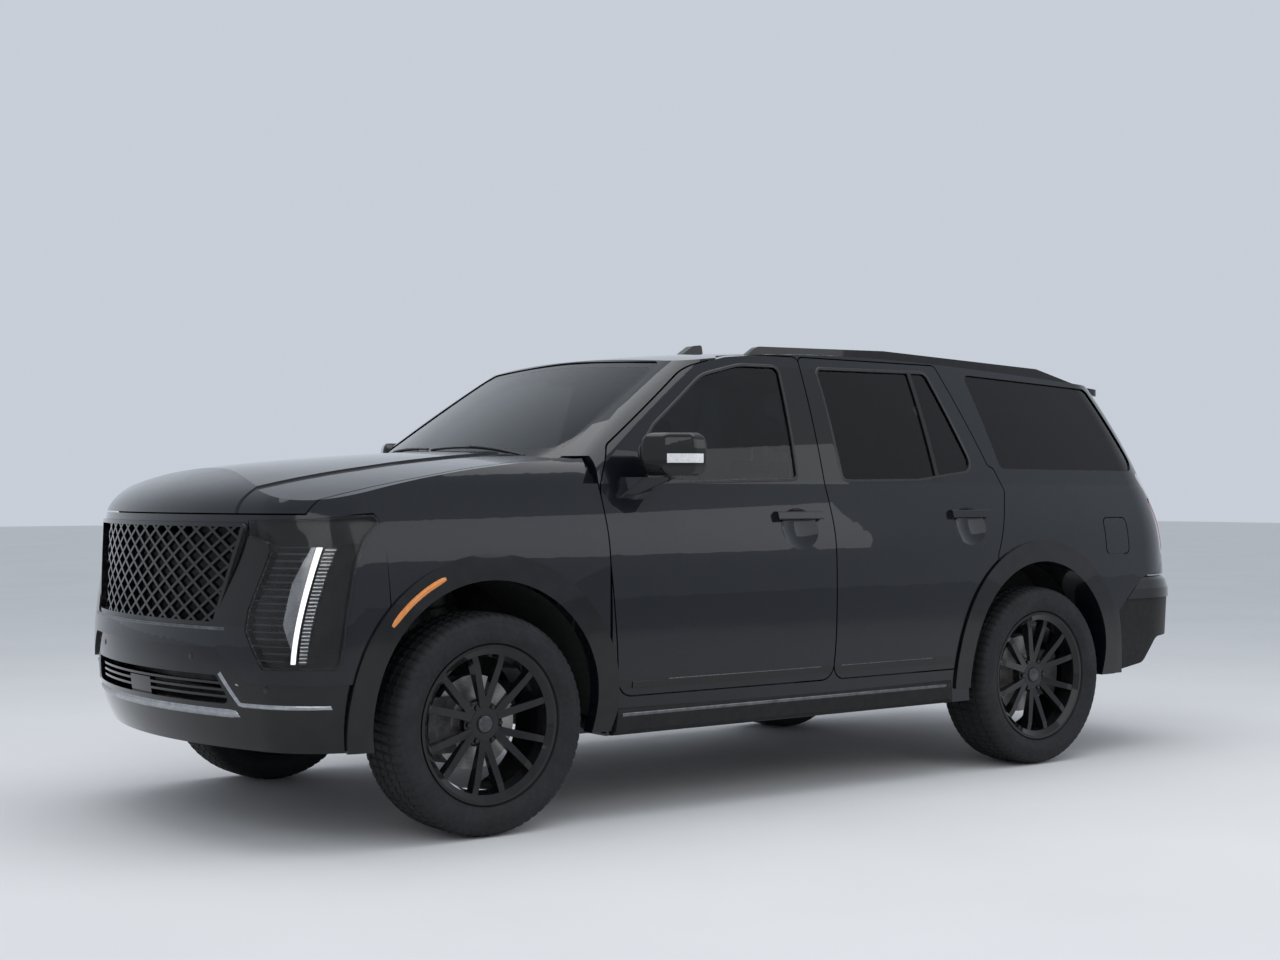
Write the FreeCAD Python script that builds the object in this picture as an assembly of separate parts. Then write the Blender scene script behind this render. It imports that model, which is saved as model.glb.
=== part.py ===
import FreeCAD, Part
import math
import os
from functools import lru_cache

# A seven-seat sport utility vehicle, in millimetres. X runs rearward, Y to the vehicle's
# right and Z up. The origin is on the ground below the middle of the bounding box.

V = FreeCAD.Vector

# Overall sizes and axles
LENGTH = 5382.0
FRONT_OVERHANG = 985.0
WHEELBASE = 3071.0
TRACK = 1737.0
NOSE_X = -LENGTH / 2
TAIL_X = LENGTH / 2
FRONT_AXLE_X = NOSE_X + FRONT_OVERHANG
REAR_AXLE_X = FRONT_AXLE_X + WHEELBASE
WHEEL_Y = TRACK / 2

# Wheels and tyres
TYRE_RADIUS = 417.0
TYRE_WIDTH = 275.0
BEAD_RADIUS = 279.4
FLANGE_RADIUS = 297.0
RIM_WIDTH = 232.0
RIM_WALL = 22.0
SPOKE_PAIRS = 6
DISC_RADIUS = 178.0
DISC_WIDTH = 30.0
AXLE_Z = TYRE_RADIUS

# Body side and its layers, as depths below the outer skin
BODY_HALF_WIDTH = 1018.0
MOULDING_PROUD = 11.5
SIDE_RADIUS = 60000.0
SKIN_LAYER = 12.0
DOOR_DEPTH_LOW = 110.0
DOOR_DEPTH_UP = 48.0
FRAME_DEPTH_LOW = 168.0
FRAME_DEPTH_UP = 88.0
FENDER_DEPTH = 45.0
HOOD_DEPTH = 32.0
LAMP_DEPTH_LOW = 70.0
LAMP_DEPTH_UP = 44.0
GLASS_DEPTH = 8.0
GLASS_THICK = 5.0
GLASS_LAP = 8.0

# Gaps
SHUT_GAP = 6.0
SEAT_GAP = 0.3
LAMP_GAP = 0.4
EDGE_STEP = 28.0
FRAME_LAP = 42.0

# Heights and stations of the body
SILL_Z = 330.0
BUMPER_LOW_Z = 390.0
BUMPER_TOP_Z = 862.0
DOOR_BOTTOM_Z = 485.0
BELT_Z = 1315.0
ROOF_EDGE_Z = 1871.0
DOOR_FRONT_X = -1160.0
B_PILLAR_X = 14.0
ARCH_RADIUS = 485.0
ARCH_CENTRE_Z = 470.0
MOULDING_WIDTH = 98.0
ROOF_HALF = 640.0
ROOF_END_X = 2136.0
# Room above the liftgate's thick lower part, which rises a little as it starts to open
GATE_RISE = 24.0


def block(x0, x1, y0, y1, z0, z1):
    return Part.makeBox(x1 - x0, y1 - y0, z1 - z0, V(x0, y0, z0))


def slab(x0, x1, half, z0, z1):
    return block(x0, x1, -half, half, z0, z1)


def rod(start, end, radius):
    start = V(*start)
    along = V(*end) - start
    return Part.makeCylinder(radius, along.Length, start, along)


def drum(x, z, radius, y0, y1):
    return Part.makeCylinder(radius, y1 - y0, V(x, y0, z), V(0, 1, 0))


def mirrored(shape):
    return shape.mirror(V(0, 0, 0), V(0, 1, 0))


def pair(shape):
    return [shape, mirrored(shape)]


def joined(shapes):
    whole = shapes[0].multiFuse(shapes[1:]) if len(shapes) > 1 else shapes[0]
    return whole.removeSplitter()


def grown(outline, distance):
    """An outline of (u, v, corner radius) rows moved outward by a distance."""
    count = len(outline)
    area = sum(outline[i - 1][0] * outline[i][1] - outline[i][0] * outline[i - 1][1]
               for i in range(count))
    turn = 1 if area > 0 else -1
    lines = []
    for i in range(count):
        (u0, v0), (u1, v1) = outline[i - 1][:2], outline[i][:2]
        size = math.hypot(u1 - u0, v1 - v0)
        du, dv = (u1 - u0) / size, (v1 - v0) / size
        lines.append((u0 + turn * dv * distance, v0 - turn * du * distance, du, dv))
    result = []
    for i in range(count):
        u0, v0, du0, dv0 = lines[i]
        u1, v1, du1, dv1 = lines[(i + 1) % count]
        along = ((u1 - u0) * dv1 - (v1 - v0) * du1) / (du0 * dv1 - dv0 * du1)
        before, here, after = outline[i - 1], outline[i], outline[(i + 1) % count]
        bend = ((here[0] - before[0]) * (after[1] - here[1])
                - (here[1] - before[1]) * (after[0] - here[0])) * turn
        radius = here[2] + distance if bend > 0 else here[2] - distance
        radius = max(radius, 0.0) if here[2] else 0.0
        result.append((u0 + along * du0, v0 + along * dv0, radius))
    return result


def closed_wire(outline, place):
    """A wire of lines and corner arcs through (u, v, corner radius) rows."""
    count = len(outline)
    corners = []
    for i in range(count):
        u, v, radius = outline[i]
        before, after = outline[i - 1], outline[(i + 1) % count]
        a = V(before[0] - u, before[1] - v, 0).normalize()
        b = V(after[0] - u, after[1] - v, 0).normalize()
        here = V(u, v, 0)
        if radius <= 0:
            corners.append((here, None, here))
            continue
        half = a.getAngle(b) / 2
        reach = radius / math.tan(half)
        middle = here + (a + b).normalize() * (radius / math.sin(half) - radius)
        corners.append((here + a * reach, middle, here + b * reach))
    edges = []
    for i in range(count):
        start, middle, end = corners[i]
        if middle is not None:
            edges.append(Part.Arc(place(start), place(middle), place(end)).toShape())
        after = corners[(i + 1) % count][0]
        if (after - end).Length > 1e-6:
            edges.append(Part.LineSegment(place(end), place(after)).toShape())
    return Part.Wire(edges)


def side_prism(outline, y0, y1):
    """Rows are (x, z, corner radius), extruded across from y0 to y1."""
    wire = closed_wire(outline, lambda p: V(p.x, y0, p.y))
    return Part.Face(wire).extrude(V(0, y1 - y0, 0))


def plan_prism(outline, z0, z1):
    """Rows are (x, y, corner radius), extruded up from z0 to z1."""
    wire = closed_wire(outline, lambda p: V(p.x, p.y, z0))
    return Part.Face(wire).extrude(V(0, 0, z1 - z0))


def front_prism(outline, x0, x1):
    """Rows are (y, z, corner radius), extruded rearward from x0 to x1."""
    wire = closed_wire(outline, lambda p: V(x0, p.x, p.y))
    return Part.Face(wire).extrude(V(x1 - x0, 0, 0))


def both_halves(half_outline):
    """A symmetric front outline from its half on +Y, given from the bottom up."""
    return half_outline + [(-y, z, r) for y, z, r in reversed(half_outline)]


# The body's plan at each height. Columns: z, setback of the nose behind NOSE_X, nose radius,
# front corner radius, half width less BODY_HALF_WIDTH, rear corner radius,
# setback of the tail before TAIL_X, tail radius.
LOWER_LEVELS = [
    (300, 110, 2070, 330, -48, 400, 140, 3200),
    (480, 20, 2070, 330, -20, 410, 62, 3200),
    (700, 0, 2070, 330, 0, 420, 48, 3200),
    (950, 30, 2070, 330, -4, 420, 58, 3200),
    (1120, 50, 2070, 330, -24, 410, 76, 3200),
    (1215, 60, 2070, 330, -54, 390, 96, 3000),
    (BELT_Z, 170, 2030, 330, -92, 360, 139, 2850),
    (1390, 370, 1960, 330, -137, 345, 210, 2700),
    (1470, 660, 1900, 330, -210, 330, 300, 2600),
]

# The same columns for the glazed part above the belt.
UPPER_LEVELS = [
    (BELT_Z, 1104, 1480, 120, -92, 360, 139, 2850),
    (1600, 1582, 2000, 130, -181, 300, 300, 2500),
    (1960, 2200, 2900, 140, -327, 260, 560, 2300),
]

# Columns: x, crown height at the middle, drop at 1000 mm to each side
HOOD_CROWN = ((-2760, 1300, 215), (-2421, 1362, 170), (-1918, 1414, 98), (-1336, 1450, 62), (-1000, 1462, 58))
ROOF_CROWN = ((-1500, 1700, 82), (-700, 1856, 74), (0, 1918, 69), (1000, 1910, 69), (2000, 1852, 66),
              (2800, 1772, 60))
CROWN_HALF = 1000.0


def meeting(centre0, reach0, centre1, reach1, side):
    """The point at two distances from two centres, on the given side of their line in Y."""
    across = centre1 - centre0
    along = (reach0 ** 2 - reach1 ** 2 + across.Length ** 2) / (2 * across.Length)
    off = math.sqrt(reach0 ** 2 - along ** 2)
    unit = V(across.x, across.y, 0).normalize()
    normal = V(-unit.y, unit.x, 0) * side
    return centre0 + unit * along + normal * off


def arc_about(centre, radius, start, end):
    middle = centre + ((start - centre) + (end - centre)).normalize() * radius
    return Part.Arc(start, middle, end).toShape()


def plan_wire(level, inset):
    z, nose, nose_r, front_r, width, rear_r, tail, tail_r = level
    nose_r, front_r, rear_r, tail_r = (r - inset for r in (nose_r, front_r, rear_r, tail_r))
    side_r = SIDE_RADIUS - inset
    front = NOSE_X + nose + inset
    rear = TAIL_X - tail - inset
    half = BODY_HALF_WIDTH + width - inset
    nose_c = V(front + nose_r, 0, z)
    tail_c = V(rear - tail_r, 0, z)
    side_c = V(0, half - side_r, z)
    front_c = meeting(nose_c, nose_r - front_r, side_c, side_r - front_r, -1)
    rear_c = meeting(tail_c, tail_r - rear_r, side_c, side_r - rear_r, 1)
    if front_c.y < 0 or front_c.x > nose_c.x:
        front_c = meeting(nose_c, nose_r - front_r, side_c, side_r - front_r, 1)
    if rear_c.y < 0 or rear_c.x < tail_c.x:
        rear_c = meeting(tail_c, tail_r - rear_r, side_c, side_r - rear_r, -1)
    nose_p = nose_c + (front_c - nose_c).normalize() * nose_r
    front_p = side_c + (front_c - side_c).normalize() * side_r
    rear_p = side_c + (rear_c - side_c).normalize() * side_r
    tail_p = tail_c + (rear_c - tail_c).normalize() * tail_r

    def flip(p):
        return V(p.x, -p.y, p.z)

    edges = [
        Part.Arc(flip(nose_p), V(front, 0, z), nose_p).toShape(),
        arc_about(front_c, front_r, nose_p, front_p),
        arc_about(side_c, side_r, front_p, rear_p),
        arc_about(rear_c, rear_r, rear_p, tail_p),
        Part.Arc(tail_p, V(rear, 0, z), flip(tail_p)).toShape(),
        arc_about(flip(rear_c), rear_r, flip(tail_p), flip(rear_p)),
        arc_about(flip(side_c), side_r, flip(rear_p), flip(front_p)),
        arc_about(flip(front_c), front_r, flip(front_p), flip(nose_p)),
    ]
    return Part.Wire(edges)


@lru_cache(maxsize=None)
def crown_body(table, inset, floor_z):
    wires = []
    for x, top, drop in table:
        left = V(x, -CROWN_HALF, top - drop - inset)
        right = V(x, CROWN_HALF, top - drop - inset)
        wires.append(Part.Wire([
            Part.Arc(left, V(x, 0, top - inset), right).toShape(),
            Part.LineSegment(right, V(x, CROWN_HALF, floor_z)).toShape(),
            Part.LineSegment(V(x, CROWN_HALF, floor_z), V(x, -CROWN_HALF, floor_z)).toShape(),
            Part.LineSegment(V(x, -CROWN_HALF, floor_z), left).toShape(),
        ]))
    return Part.makeLoft(wires, True, False)


@lru_cache(maxsize=None)
def lower_body(inset):
    return Part.makeLoft([plan_wire(level, inset) for level in LOWER_LEVELS], True, False)


@lru_cache(maxsize=None)
def upper_body(inset):
    loft = Part.makeLoft([plan_wire(level, inset) for level in UPPER_LEVELS], True, False)
    return loft.common(crown_body(ROOF_CROWN, inset, BELT_Z - 60))


def cabin(low, up):
    """The body on +Y behind the cowl, below and above the belt, set in by two depths."""
    far = 4000
    below = lower_body(low).common(block(-1500, far, 0, far, SILL_Z, BELT_Z))
    return [below, upper_body(up).common(block(-far, far, 0, far, 0, far))]


@lru_cache(maxsize=None)
def front_end(inset, top_inset):
    """The body before the cowl under the hood's crown."""
    far = 4000
    ahead = lower_body(inset).common(slab(-far, -1000, far, 0, far))
    return ahead.common(crown_body(HOOD_CROWN, top_inset, -100))


def side_y(x, z):
    """How far out the skin is below the belt."""
    rows = [(level[0], level[4]) for level in LOWER_LEVELS]
    for (z0, w0), (z1, w1) in zip(rows, rows[1:]):
        if z <= z1:
            break
    width = w0 + (w1 - w0) * (z - z0) / (z1 - z0)
    return BODY_HALF_WIDTH + width - x * x / (2 * SIDE_RADIUS)


# Outlines seen from the side. Columns: x, z, corner radius
FRONT_DOOR = [
    (DOOR_FRONT_X + 42, DOOR_BOTTOM_Z, 70), (DOOR_FRONT_X, 1000, 400), (DOOR_FRONT_X, 1290, 200),
    (DOOR_FRONT_X + 80, 1466, 60), (-600, 1802, 350), (-300, ROOF_EDGE_Z, 400),
    (B_PILLAR_X + 36, ROOF_EDGE_Z, 25), (B_PILLAR_X - 3, DOOR_BOTTOM_Z, 60),
]
FRONT_WINDOW = [
    (-900, 1325, 20), (-935, 1440, 30), (-830, 1551, 60), (-520, 1768, 250), (-300, 1819, 300),
    (B_PILLAR_X - 98, 1821, 25), (B_PILLAR_X - 132, 1341, 25),
]
REAR_DOOR = [
    (B_PILLAR_X + 4, DOOR_BOTTOM_Z, 60), (B_PILLAR_X + 42, ROOF_EDGE_Z, 25), (918, 1868, 25),
    (1105, 1402, 20), (1140, 1388, 20), (1182, 1290, 40), (1055, 990, 0), (1055, DOOR_BOTTOM_Z, 0),
]
REAR_WINDOW = [
    (B_PILLAR_X + 142, 1336, 25), (B_PILLAR_X + 136, 1821, 25), (838, 1827, 30), (1000, 1385, 50),
    (620, 1341, 300),
]
WINDOW_DIVIDER = [(764, 1300, 0), (742, 1900, 0), (718, 1900, 0), (740, 1300, 0)]
QUARTER_WINDOW = [(1195, 1390, 30), (1100, 1835, 30), (2015, 1795, 60), (2262, 1385, 50)]
FENDER = [
    (DOOR_FRONT_X - SHUT_GAP, SILL_Z + 20, 0), (DOOR_FRONT_X - SHUT_GAP, 1500, 0), (-2440, 1500, 0),
    (-2440, 1190, 0), (-2166, 1208, 20), (-2146, 1170, 15), (-2120, 800, 0), (-2120, SILL_Z + 20, 0),
]
BUMPER = [(-2900, 352, 0), (-2900, 1200, 0), (-2146, 1200, 0), (-2126, 800, 0), (-2126, 352, 0)]
LAMP_SIDE = [
    (-2900, 1184, 0), (-2410, 1186, 0), (-2166, 1204, 15), (-2149, 1170, 12), (-2213, 1116, 30),
    (-2258, 1020, 60), (-2285, 883, 100), (-2320, 655, 30), (-2900, 655, 0),
]
TAIL_LAMP = [(2228, 1372, 15), (2900, 1372, 0), (2900, 965, 0), (2345, 965, 20), (2300, 1285, 40)]
REAR_BUMPER = [
    (2040, 300, 0), (1955, 700, 20), (2150, BUMPER_TOP_Z, 120), (2900, BUMPER_TOP_Z, 0), (2900, 300, 0),
]
FUEL_DOOR = [(1862, 982, 25), (1862, 1152, 25), (2036, 1152, 25), (2036, 982, 25)]

# Outlines seen from the front or rear, half on +Y, from the bottom up. Columns: y, z, corner radius
LAMP_FRONT = [
    (664, 1122, 6), (772, 1098, 30), (704, 865, 60), (700, 785, 20), (785, 650, 20), (1100, 650, 0),
    (1100, 1230, 0), (840, 1186, 40), (664, 1181, 6),
]
GRILLE_HALF = [(541, 798, 25), (668, 1173, 18)]
WINDSCREEN_HALF = [(748, 1392, 20), (655, 1832, 70)]
WINDSCREEN_TOP = (0, 1860, 4000)
GATE_HALF = [(690, 868, 30), (728, 965, 60), (706, 1372, 60), (604, 1800, 0), (600, 1960, 0)]
BACKLIGHT_HALF = [(640, 1326, 50), (540, 1778, 60)]

# The hood seen from above, half on +Y. Columns: x, y, corner radius
HOOD_HALF = [(-1288, 792, 25), (-1918, 862, 600), (-2421, 853, 200), (-2900, 760, 0)]
HOOD_BACK = (-1432, 0, 3500)
HOOD_FRONT_Z = 1206.0
COWL_HALF = 785.0

# The raised middle of the hood: its foot seen from above, half on +Y. Columns: x, y, corner radius
DOME_FOOT = [(-1250, 560, 0), (-2000, 640, 500), (-2480, 640, 120), (-2760, 560, 0)]
DOME_RISE = 8.0
DOME_SLOPE = 26.0


def both_halves_capped(half, cap):
    return half + [cap] + [(-y, z, r) for y, z, r in reversed(half)]


def hood_outline():
    left = [(x, -y, r) for x, y, r in reversed(HOOD_HALF)]
    return [HOOD_BACK] + HOOD_HALF + left


FAR = 1300.0
RIGHT = (300.0, FAR)

# The body's layers, from the skin inward
OUTER = cabin(0, 0)
SKIN_IN = cabin(SKIN_LAYER, SKIN_LAYER)
DOOR_IN = cabin(DOOR_DEPTH_LOW, DOOR_DEPTH_UP)
FRAME_OUT = cabin(DOOR_DEPTH_LOW + SHUT_GAP, DOOR_DEPTH_UP + SHUT_GAP)
FRAME_IN = cabin(FRAME_DEPTH_LOW, FRAME_DEPTH_UP)
TRIM_OUT = cabin(FRAME_DEPTH_LOW + SEAT_GAP, FRAME_DEPTH_UP + SEAT_GAP)
LAMP_IN = cabin(LAMP_DEPTH_LOW, LAMP_DEPTH_UP)
GLASS_REST = upper_body(GLASS_DEPTH)
GLASS_OUT = upper_body(GLASS_DEPTH + SEAT_GAP)
GLASS_IN = upper_body(GLASS_DEPTH + SEAT_GAP + GLASS_THICK)
FRONT_OUT = front_end(0, 0)
FRONT_IN = front_end(FENDER_DEPTH, HOOD_DEPTH)


def side(outline):
    return side_prism(outline, *RIGHT)


NO_DIVIDER = block(5000, 5001, 0, 1, 0, 1)


def window_cut(prism, rebate):
    """A window's hole, with a rebate for its pane from the pane's depth inward."""
    return prism.fuse(rebate.common(GLASS_REST))


def pane(prism):
    return prism.common(GLASS_OUT).cut(GLASS_IN)


def arch_centres():
    return (FRONT_AXLE_X, REAR_AXLE_X)


def arch_drum(axle_x, radius, y0, y1):
    return drum(axle_x, ARCH_CENTRE_Z, radius, y0, y1)


def door(outline, window, divider):
    """A door on +Y: its skin to the outline, its inner panel a step inside it."""
    whole = side_prism(outline, ROOF_HALF + SHUT_GAP, FAR)
    step = side(grown(outline, SHUT_GAP)).cut(side(grown(outline, -EDGE_STEP)))
    ring = ARCH_RADIUS + MOULDING_WIDTH + SHUT_GAP
    halves = []
    for outer, skin_in, door_in in zip(OUTER, SKIN_IN, DOOR_IN):
        half = whole.common(outer).cut(door_in).cut(step.common(skin_in))
        half = half.cut(arch_drum(REAR_AXLE_X, ring, *RIGHT))
        halves.append(half.cut(arch_drum(REAR_AXLE_X, ring + EDGE_STEP, *RIGHT).common(skin_in)))
    hole = window_cut(side(window).cut(divider), side(grown(window, GLASS_LAP)))
    return joined([halves[0], halves[1].cut(hole)])


def door_pane(window):
    return pane(side(grown(window, GLASS_LAP - SEAT_GAP)))


# Door mirrors. Columns: x, y, corner radius
MIRROR_PLAN = [(-1040, 985, 30), (-985, 1115, 60), (-890, 1183, 30), (-815, 1176, 20), (-838, 985, 20)]
MIRROR_LEVELS = [(1346, 0.72), (1375, 0.96), (1440, 1.0), (1490, 0.94), (1514, 0.72)]
MIRROR_PIVOT = (-880.0, 1000.0)
# The mirror's arm at its foot on the door and below the head. Columns: x, y, corner radius
MIRROR_FOOT = [(-1088, 880, 4), (-1080, 938, 6), (-1040, 945, 6), (-1020, 936, 6), (-1012, 880, 4)]
MIRROR_SEAT = [(-1060, 880, 4), (-1015, 1030, 25), (-872, 1058, 25), (-850, 985, 20), (-900, 880, 4)]
MIRROR_ARM_Z = (1256.0, 1340.0)


def mirror_head():
    cx = sum(row[0] for row in MIRROR_PLAN) / len(MIRROR_PLAN)
    cy = sum(row[1] for row in MIRROR_PLAN) / len(MIRROR_PLAN)
    wires = []
    for z, scale in MIRROR_LEVELS:
        rows = [(cx + (x - cx) * scale, cy + (y - cy) * scale, r * scale) for x, y, r in MIRROR_PLAN]
        wires.append(closed_wire(rows, lambda p: V(p.x, p.y, z)))
    return Part.makeLoft(wires, True, False)


def mirror_arm():
    z0, z1 = MIRROR_ARM_Z
    foot = closed_wire(MIRROR_FOOT, lambda p: V(p.x, p.y, z0))
    arm = Part.makeLoft([foot, closed_wire(MIRROR_SEAT, lambda p: V(p.x, p.y, z1))], True, True)
    boss = Part.makeCylinder(18, MIRROR_LEVELS[0][0] - SEAT_GAP - z1, V(*MIRROR_PIVOT, z1))
    over_glass = side(grown(FRONT_WINDOW, GLASS_LAP)).common(upper_body(-2.0))
    return arm.fuse(boss).cut([SKIN_IN[0], SKIN_IN[1], over_glass])


# Grips and the narrow strip along the doors. Columns: front x, rear x
FRONT_GRIP = (-293.0, -40.0)
REAR_GRIP = (766.0, 1013.0)
GRIP_Z = (1166.0, 1200.0)
FRONT_STRIP = (-1056.0, B_PILLAR_X - 12)
REAR_STRIP = (B_PILLAR_X + 18, 636.0)
STRIP_Z = (512.0, 540.0)


def along_side(x0, x1, z0, z1, low, high, corner):
    """A bar along the skin from x0 to x1, between two distances from the skin."""
    near = min(side_y(x0, z0), side_y(x1, z0)), min(side_y(x0, z1), side_y(x1, z1))
    rows = [(near[0] + low, z0, 0), (near[0] + high, z0, corner), (near[1] + high, z1, corner),
            (near[1] + low, z1, 0)]
    return front_prism(rows, x0, x1)


def door_grip(x0, x1):
    """A bar that stands off the skin, on a foot at each end, over a hollow in the skin."""
    bar = along_side(x0, x1, *GRIP_Z, 12, 28, 5)
    feet = [along_side(x, x + 34, *GRIP_Z, -20, 20, 0) for x in (x0, x1 - 34)]
    middle = (x0 + x1) / 2
    out = side_y(middle, GRIP_Z[0])
    scoop = Part.makeSphere(230, V(middle, out + 212, (GRIP_Z[0] + GRIP_Z[1]) / 2 - 6))
    return joined([bar] + feet), scoop


def with_trim(panel, grip, strip):
    bar, scoop = door_grip(*grip)
    moulding = along_side(*strip, *STRIP_Z, -6, 6, 3)
    return panel.cut(scoop).fuse([bar, moulding]).removeSplitter()


def front_door():
    return with_trim(door(FRONT_DOOR, FRONT_WINDOW, NO_DIVIDER), FRONT_GRIP, FRONT_STRIP).fuse(mirror_arm()).removeSplitter()


def rear_door():
    return with_trim(door(REAR_DOOR, REAR_WINDOW, side(WINDOW_DIVIDER)), REAR_GRIP, REAR_STRIP)


def belt_room(outline):
    """Room above the thick lower part of a door, where the frame behind it steps out."""
    return side(grown(outline, SHUT_GAP)).common(block(-3000, 3000, *RIGHT, BELT_Z, BELT_Z + SHUT_GAP))


def pillar_joint():
    """Joins the middle pillar's lower part to its upper part, which lies further out."""
    belt_half = BODY_HALF_WIDTH + UPPER_LEVELS[0][4]
    inner = belt_half - FRAME_DEPTH_LOW + 4
    along = (B_PILLAR_X - 18, B_PILLAR_X + 66)
    shelf = block(*along, inner, belt_half - DOOR_DEPTH_UP - SHUT_GAP - 14, BELT_Z + SHUT_GAP, BELT_Z + 30)
    riser = block(*along, inner, belt_half - DOOR_DEPTH_LOW - SHUT_GAP - 4, BELT_Z - 25, BELT_Z + 30)
    return [shelf, riser]


def body_sides():
    """The side on +Y: pillars, sill, quarter and roof edge, with the frames behind the doors."""
    start_x = DOOR_FRONT_X - 110
    far = 2900
    region = side([(start_x, SILL_Z, 0), (start_x, 1385, 0), (-1420, 1385, 0), (-1420, 2000, 0),
                   (far, 2000, 0), (far, SILL_Z, 0)])
    region = region.common(block(-3000, 3000, ROOF_HALF, FAR, 0, 2100))
    region = region.cut(side(grown(REAR_BUMPER, SHUT_GAP)))
    ring = ARCH_RADIUS + MOULDING_WIDTH
    fender = side([(DOOR_FRONT_X, SILL_Z - 50, 0), (DOOR_FRONT_X, 1425, 0), (-1500, 1425, 0),
                   (-1500, SILL_Z - 50, 0)])
    outside = [
        side(grown(FRONT_DOOR, SHUT_GAP)), fender, side(grown(TAIL_LAMP, LAMP_GAP)), gate_prism(SHUT_GAP),
        side(grown(REAR_DOOR, SHUT_GAP)).cut(arch_drum(REAR_AXLE_X, ring, *RIGHT)),
    ]
    through = [
        side(grown(FRONT_DOOR, -FRAME_LAP)), gate_prism(-FRAME_LAP),
        side(grown(REAR_DOOR, -FRAME_LAP)).cut(arch_drum(REAR_AXLE_X, ring + FRAME_LAP, *RIGHT)),
        arch_drum(REAR_AXLE_X, ARCH_RADIUS, *RIGHT),
        arch_drum(FRONT_AXLE_X, LINER_RADIUS + LINER_THICK + SEAT_GAP, *RIGHT),
        block(REAR_AXLE_X, 2900, *RIGHT, 0, BUMPER_LOW_Z),
        gate_prism(SHUT_GAP).common(block(1900, 2900, *RIGHT, BELT_Z, BELT_Z + GATE_RISE)),
        belt_room(FRONT_DOOR), belt_room(REAR_DOOR),
    ]
    above = [window_cut(windscreen_prism(0), windscreen_prism(GLASS_LAP)),
             window_cut(side(QUARTER_WINDOW), side(grown(QUARTER_WINDOW, GLASS_LAP)))]
    below = [side(grown(FUEL_DOOR, SHUT_GAP)).cut(SKIN_IN[0])]
    region = region.cut(joined(through))
    halves = []
    for outer, frame_in, frame_out, more in zip(OUTER, FRAME_IN, FRAME_OUT, (below, above)):
        half = outer.cut(frame_in).common(region)
        halves.append(half.cut([joined(outside).cut(frame_out)] + more))
    whole = joined(halves + pillar_joint())
    return max(whole.Solids, key=lambda s: s.Volume)


def gate_prism(grow):
    outline = grown(both_halves(GATE_HALF), grow)
    return front_prism(outline, 1900, 2900).common(slab(ROOF_END_X + SHUT_GAP - grow, 2900, FAR, 0, 2100))


def windscreen_prism(grow):
    return front_prism(grown(both_halves_capped(WINDSCREEN_HALF, WINDSCREEN_TOP), grow), -1700, -330)


def roof_panel():
    region = slab(-900, 2300, ROOF_HALF - SEAT_GAP, 1750, 2100)
    roof = region.common(upper_body(0)).cut(upper_body(FRAME_DEPTH_UP))
    roof = roof.cut(window_cut(windscreen_prism(0), windscreen_prism(GLASS_LAP)))
    frame_out = upper_body(DOOR_DEPTH_UP + SHUT_GAP)
    roof = roof.cut(gate_prism(SHUT_GAP).cut(frame_out)).cut(gate_prism(-FRAME_LAP))
    return max(roof.Solids, key=lambda s: s.Volume)


def windscreen():
    return pane(windscreen_prism(GLASS_LAP - SEAT_GAP))


def liftgate():
    """The tail's door on +Y and its mirror image, joined, with the blade over its window."""
    step = gate_prism(SHUT_GAP).cut(gate_prism(-EDGE_STEP))
    hole = front_prism(both_halves(BACKLIGHT_HALF), 2000, 2900)
    rebate = front_prism(grown(both_halves(BACKLIGHT_HALF), GLASS_LAP), 2000, 2900)
    whole = gate_prism(0)
    below = whole.common(slab(1900, 2900, FAR, 0, BELT_Z)).common(lower_body(0))
    below = below.cut([lower_body(DOOR_DEPTH_LOW), step.common(lower_body(SKIN_LAYER))])
    above = whole.common(slab(1900, 2900, FAR, BELT_Z, 2100)).common(upper_body(0))
    above = above.cut([upper_body(DOOR_DEPTH_UP), step.common(upper_body(SKIN_LAYER)), window_cut(hole, rebate)])
    top = crown_body(ROOF_CROWN, 0, 1500).cut(crown_body(ROOF_CROWN, 34, 1400))
    blade = plan_prism([(ROOF_END_X + SHUT_GAP, 596, 0), (2300, 588, 60), (2342, 0, 6000), (2300, -588, 60),
                        (ROOF_END_X + SHUT_GAP, -596, 0)], 1700, 2000)
    return joined([below, above, top.common(blade)])


def liftgate_glass():
    return pane(front_prism(grown(both_halves(BACKLIGHT_HALF), GLASS_LAP - SEAT_GAP), 2000, 2900))


def lamp_zone(grow):
    front = front_prism(grown(LAMP_FRONT, grow), -2900, -2000)
    return front.common(side_prism(grown(LAMP_SIDE, grow), 500, FAR))


def grille_prism(grow):
    return front_prism(grown(both_halves(GRILLE_HALF), grow), -2900, -2400)


def hood_prism(grow):
    return plan_prism(grown(hood_outline(), grow), HOOD_FRONT_Z - grow, 1700)


def hood_dome():
    """A frustum with slanting sides over the hood's middle, up to a level set out from the skin."""
    right = DOME_FOOT
    left = [(x, -y, r) for x, y, r in reversed(right)]
    foot = closed_wire(right + left, lambda p: V(p.x, p.y, 1150))
    lean = 360 * DOME_SLOPE / DOME_RISE / 10
    top = closed_wire(grown(right + left, -lean), lambda p: V(p.x, p.y, 1510))
    return Part.makeLoft([foot, top], True, True)


def hood():
    panel = FRONT_OUT.cut(front_end(HOOD_DEPTH, HOOD_DEPTH))
    dome = front_end(-DOME_RISE, -DOME_RISE).common(hood_dome()).cut(front_end(4, 4))
    panel = panel.fuse(dome).common(hood_prism(0)).cut(upper_body(-SHUT_GAP))
    return max(panel.removeSplitter().Solids, key=lambda s: s.Volume)


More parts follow.
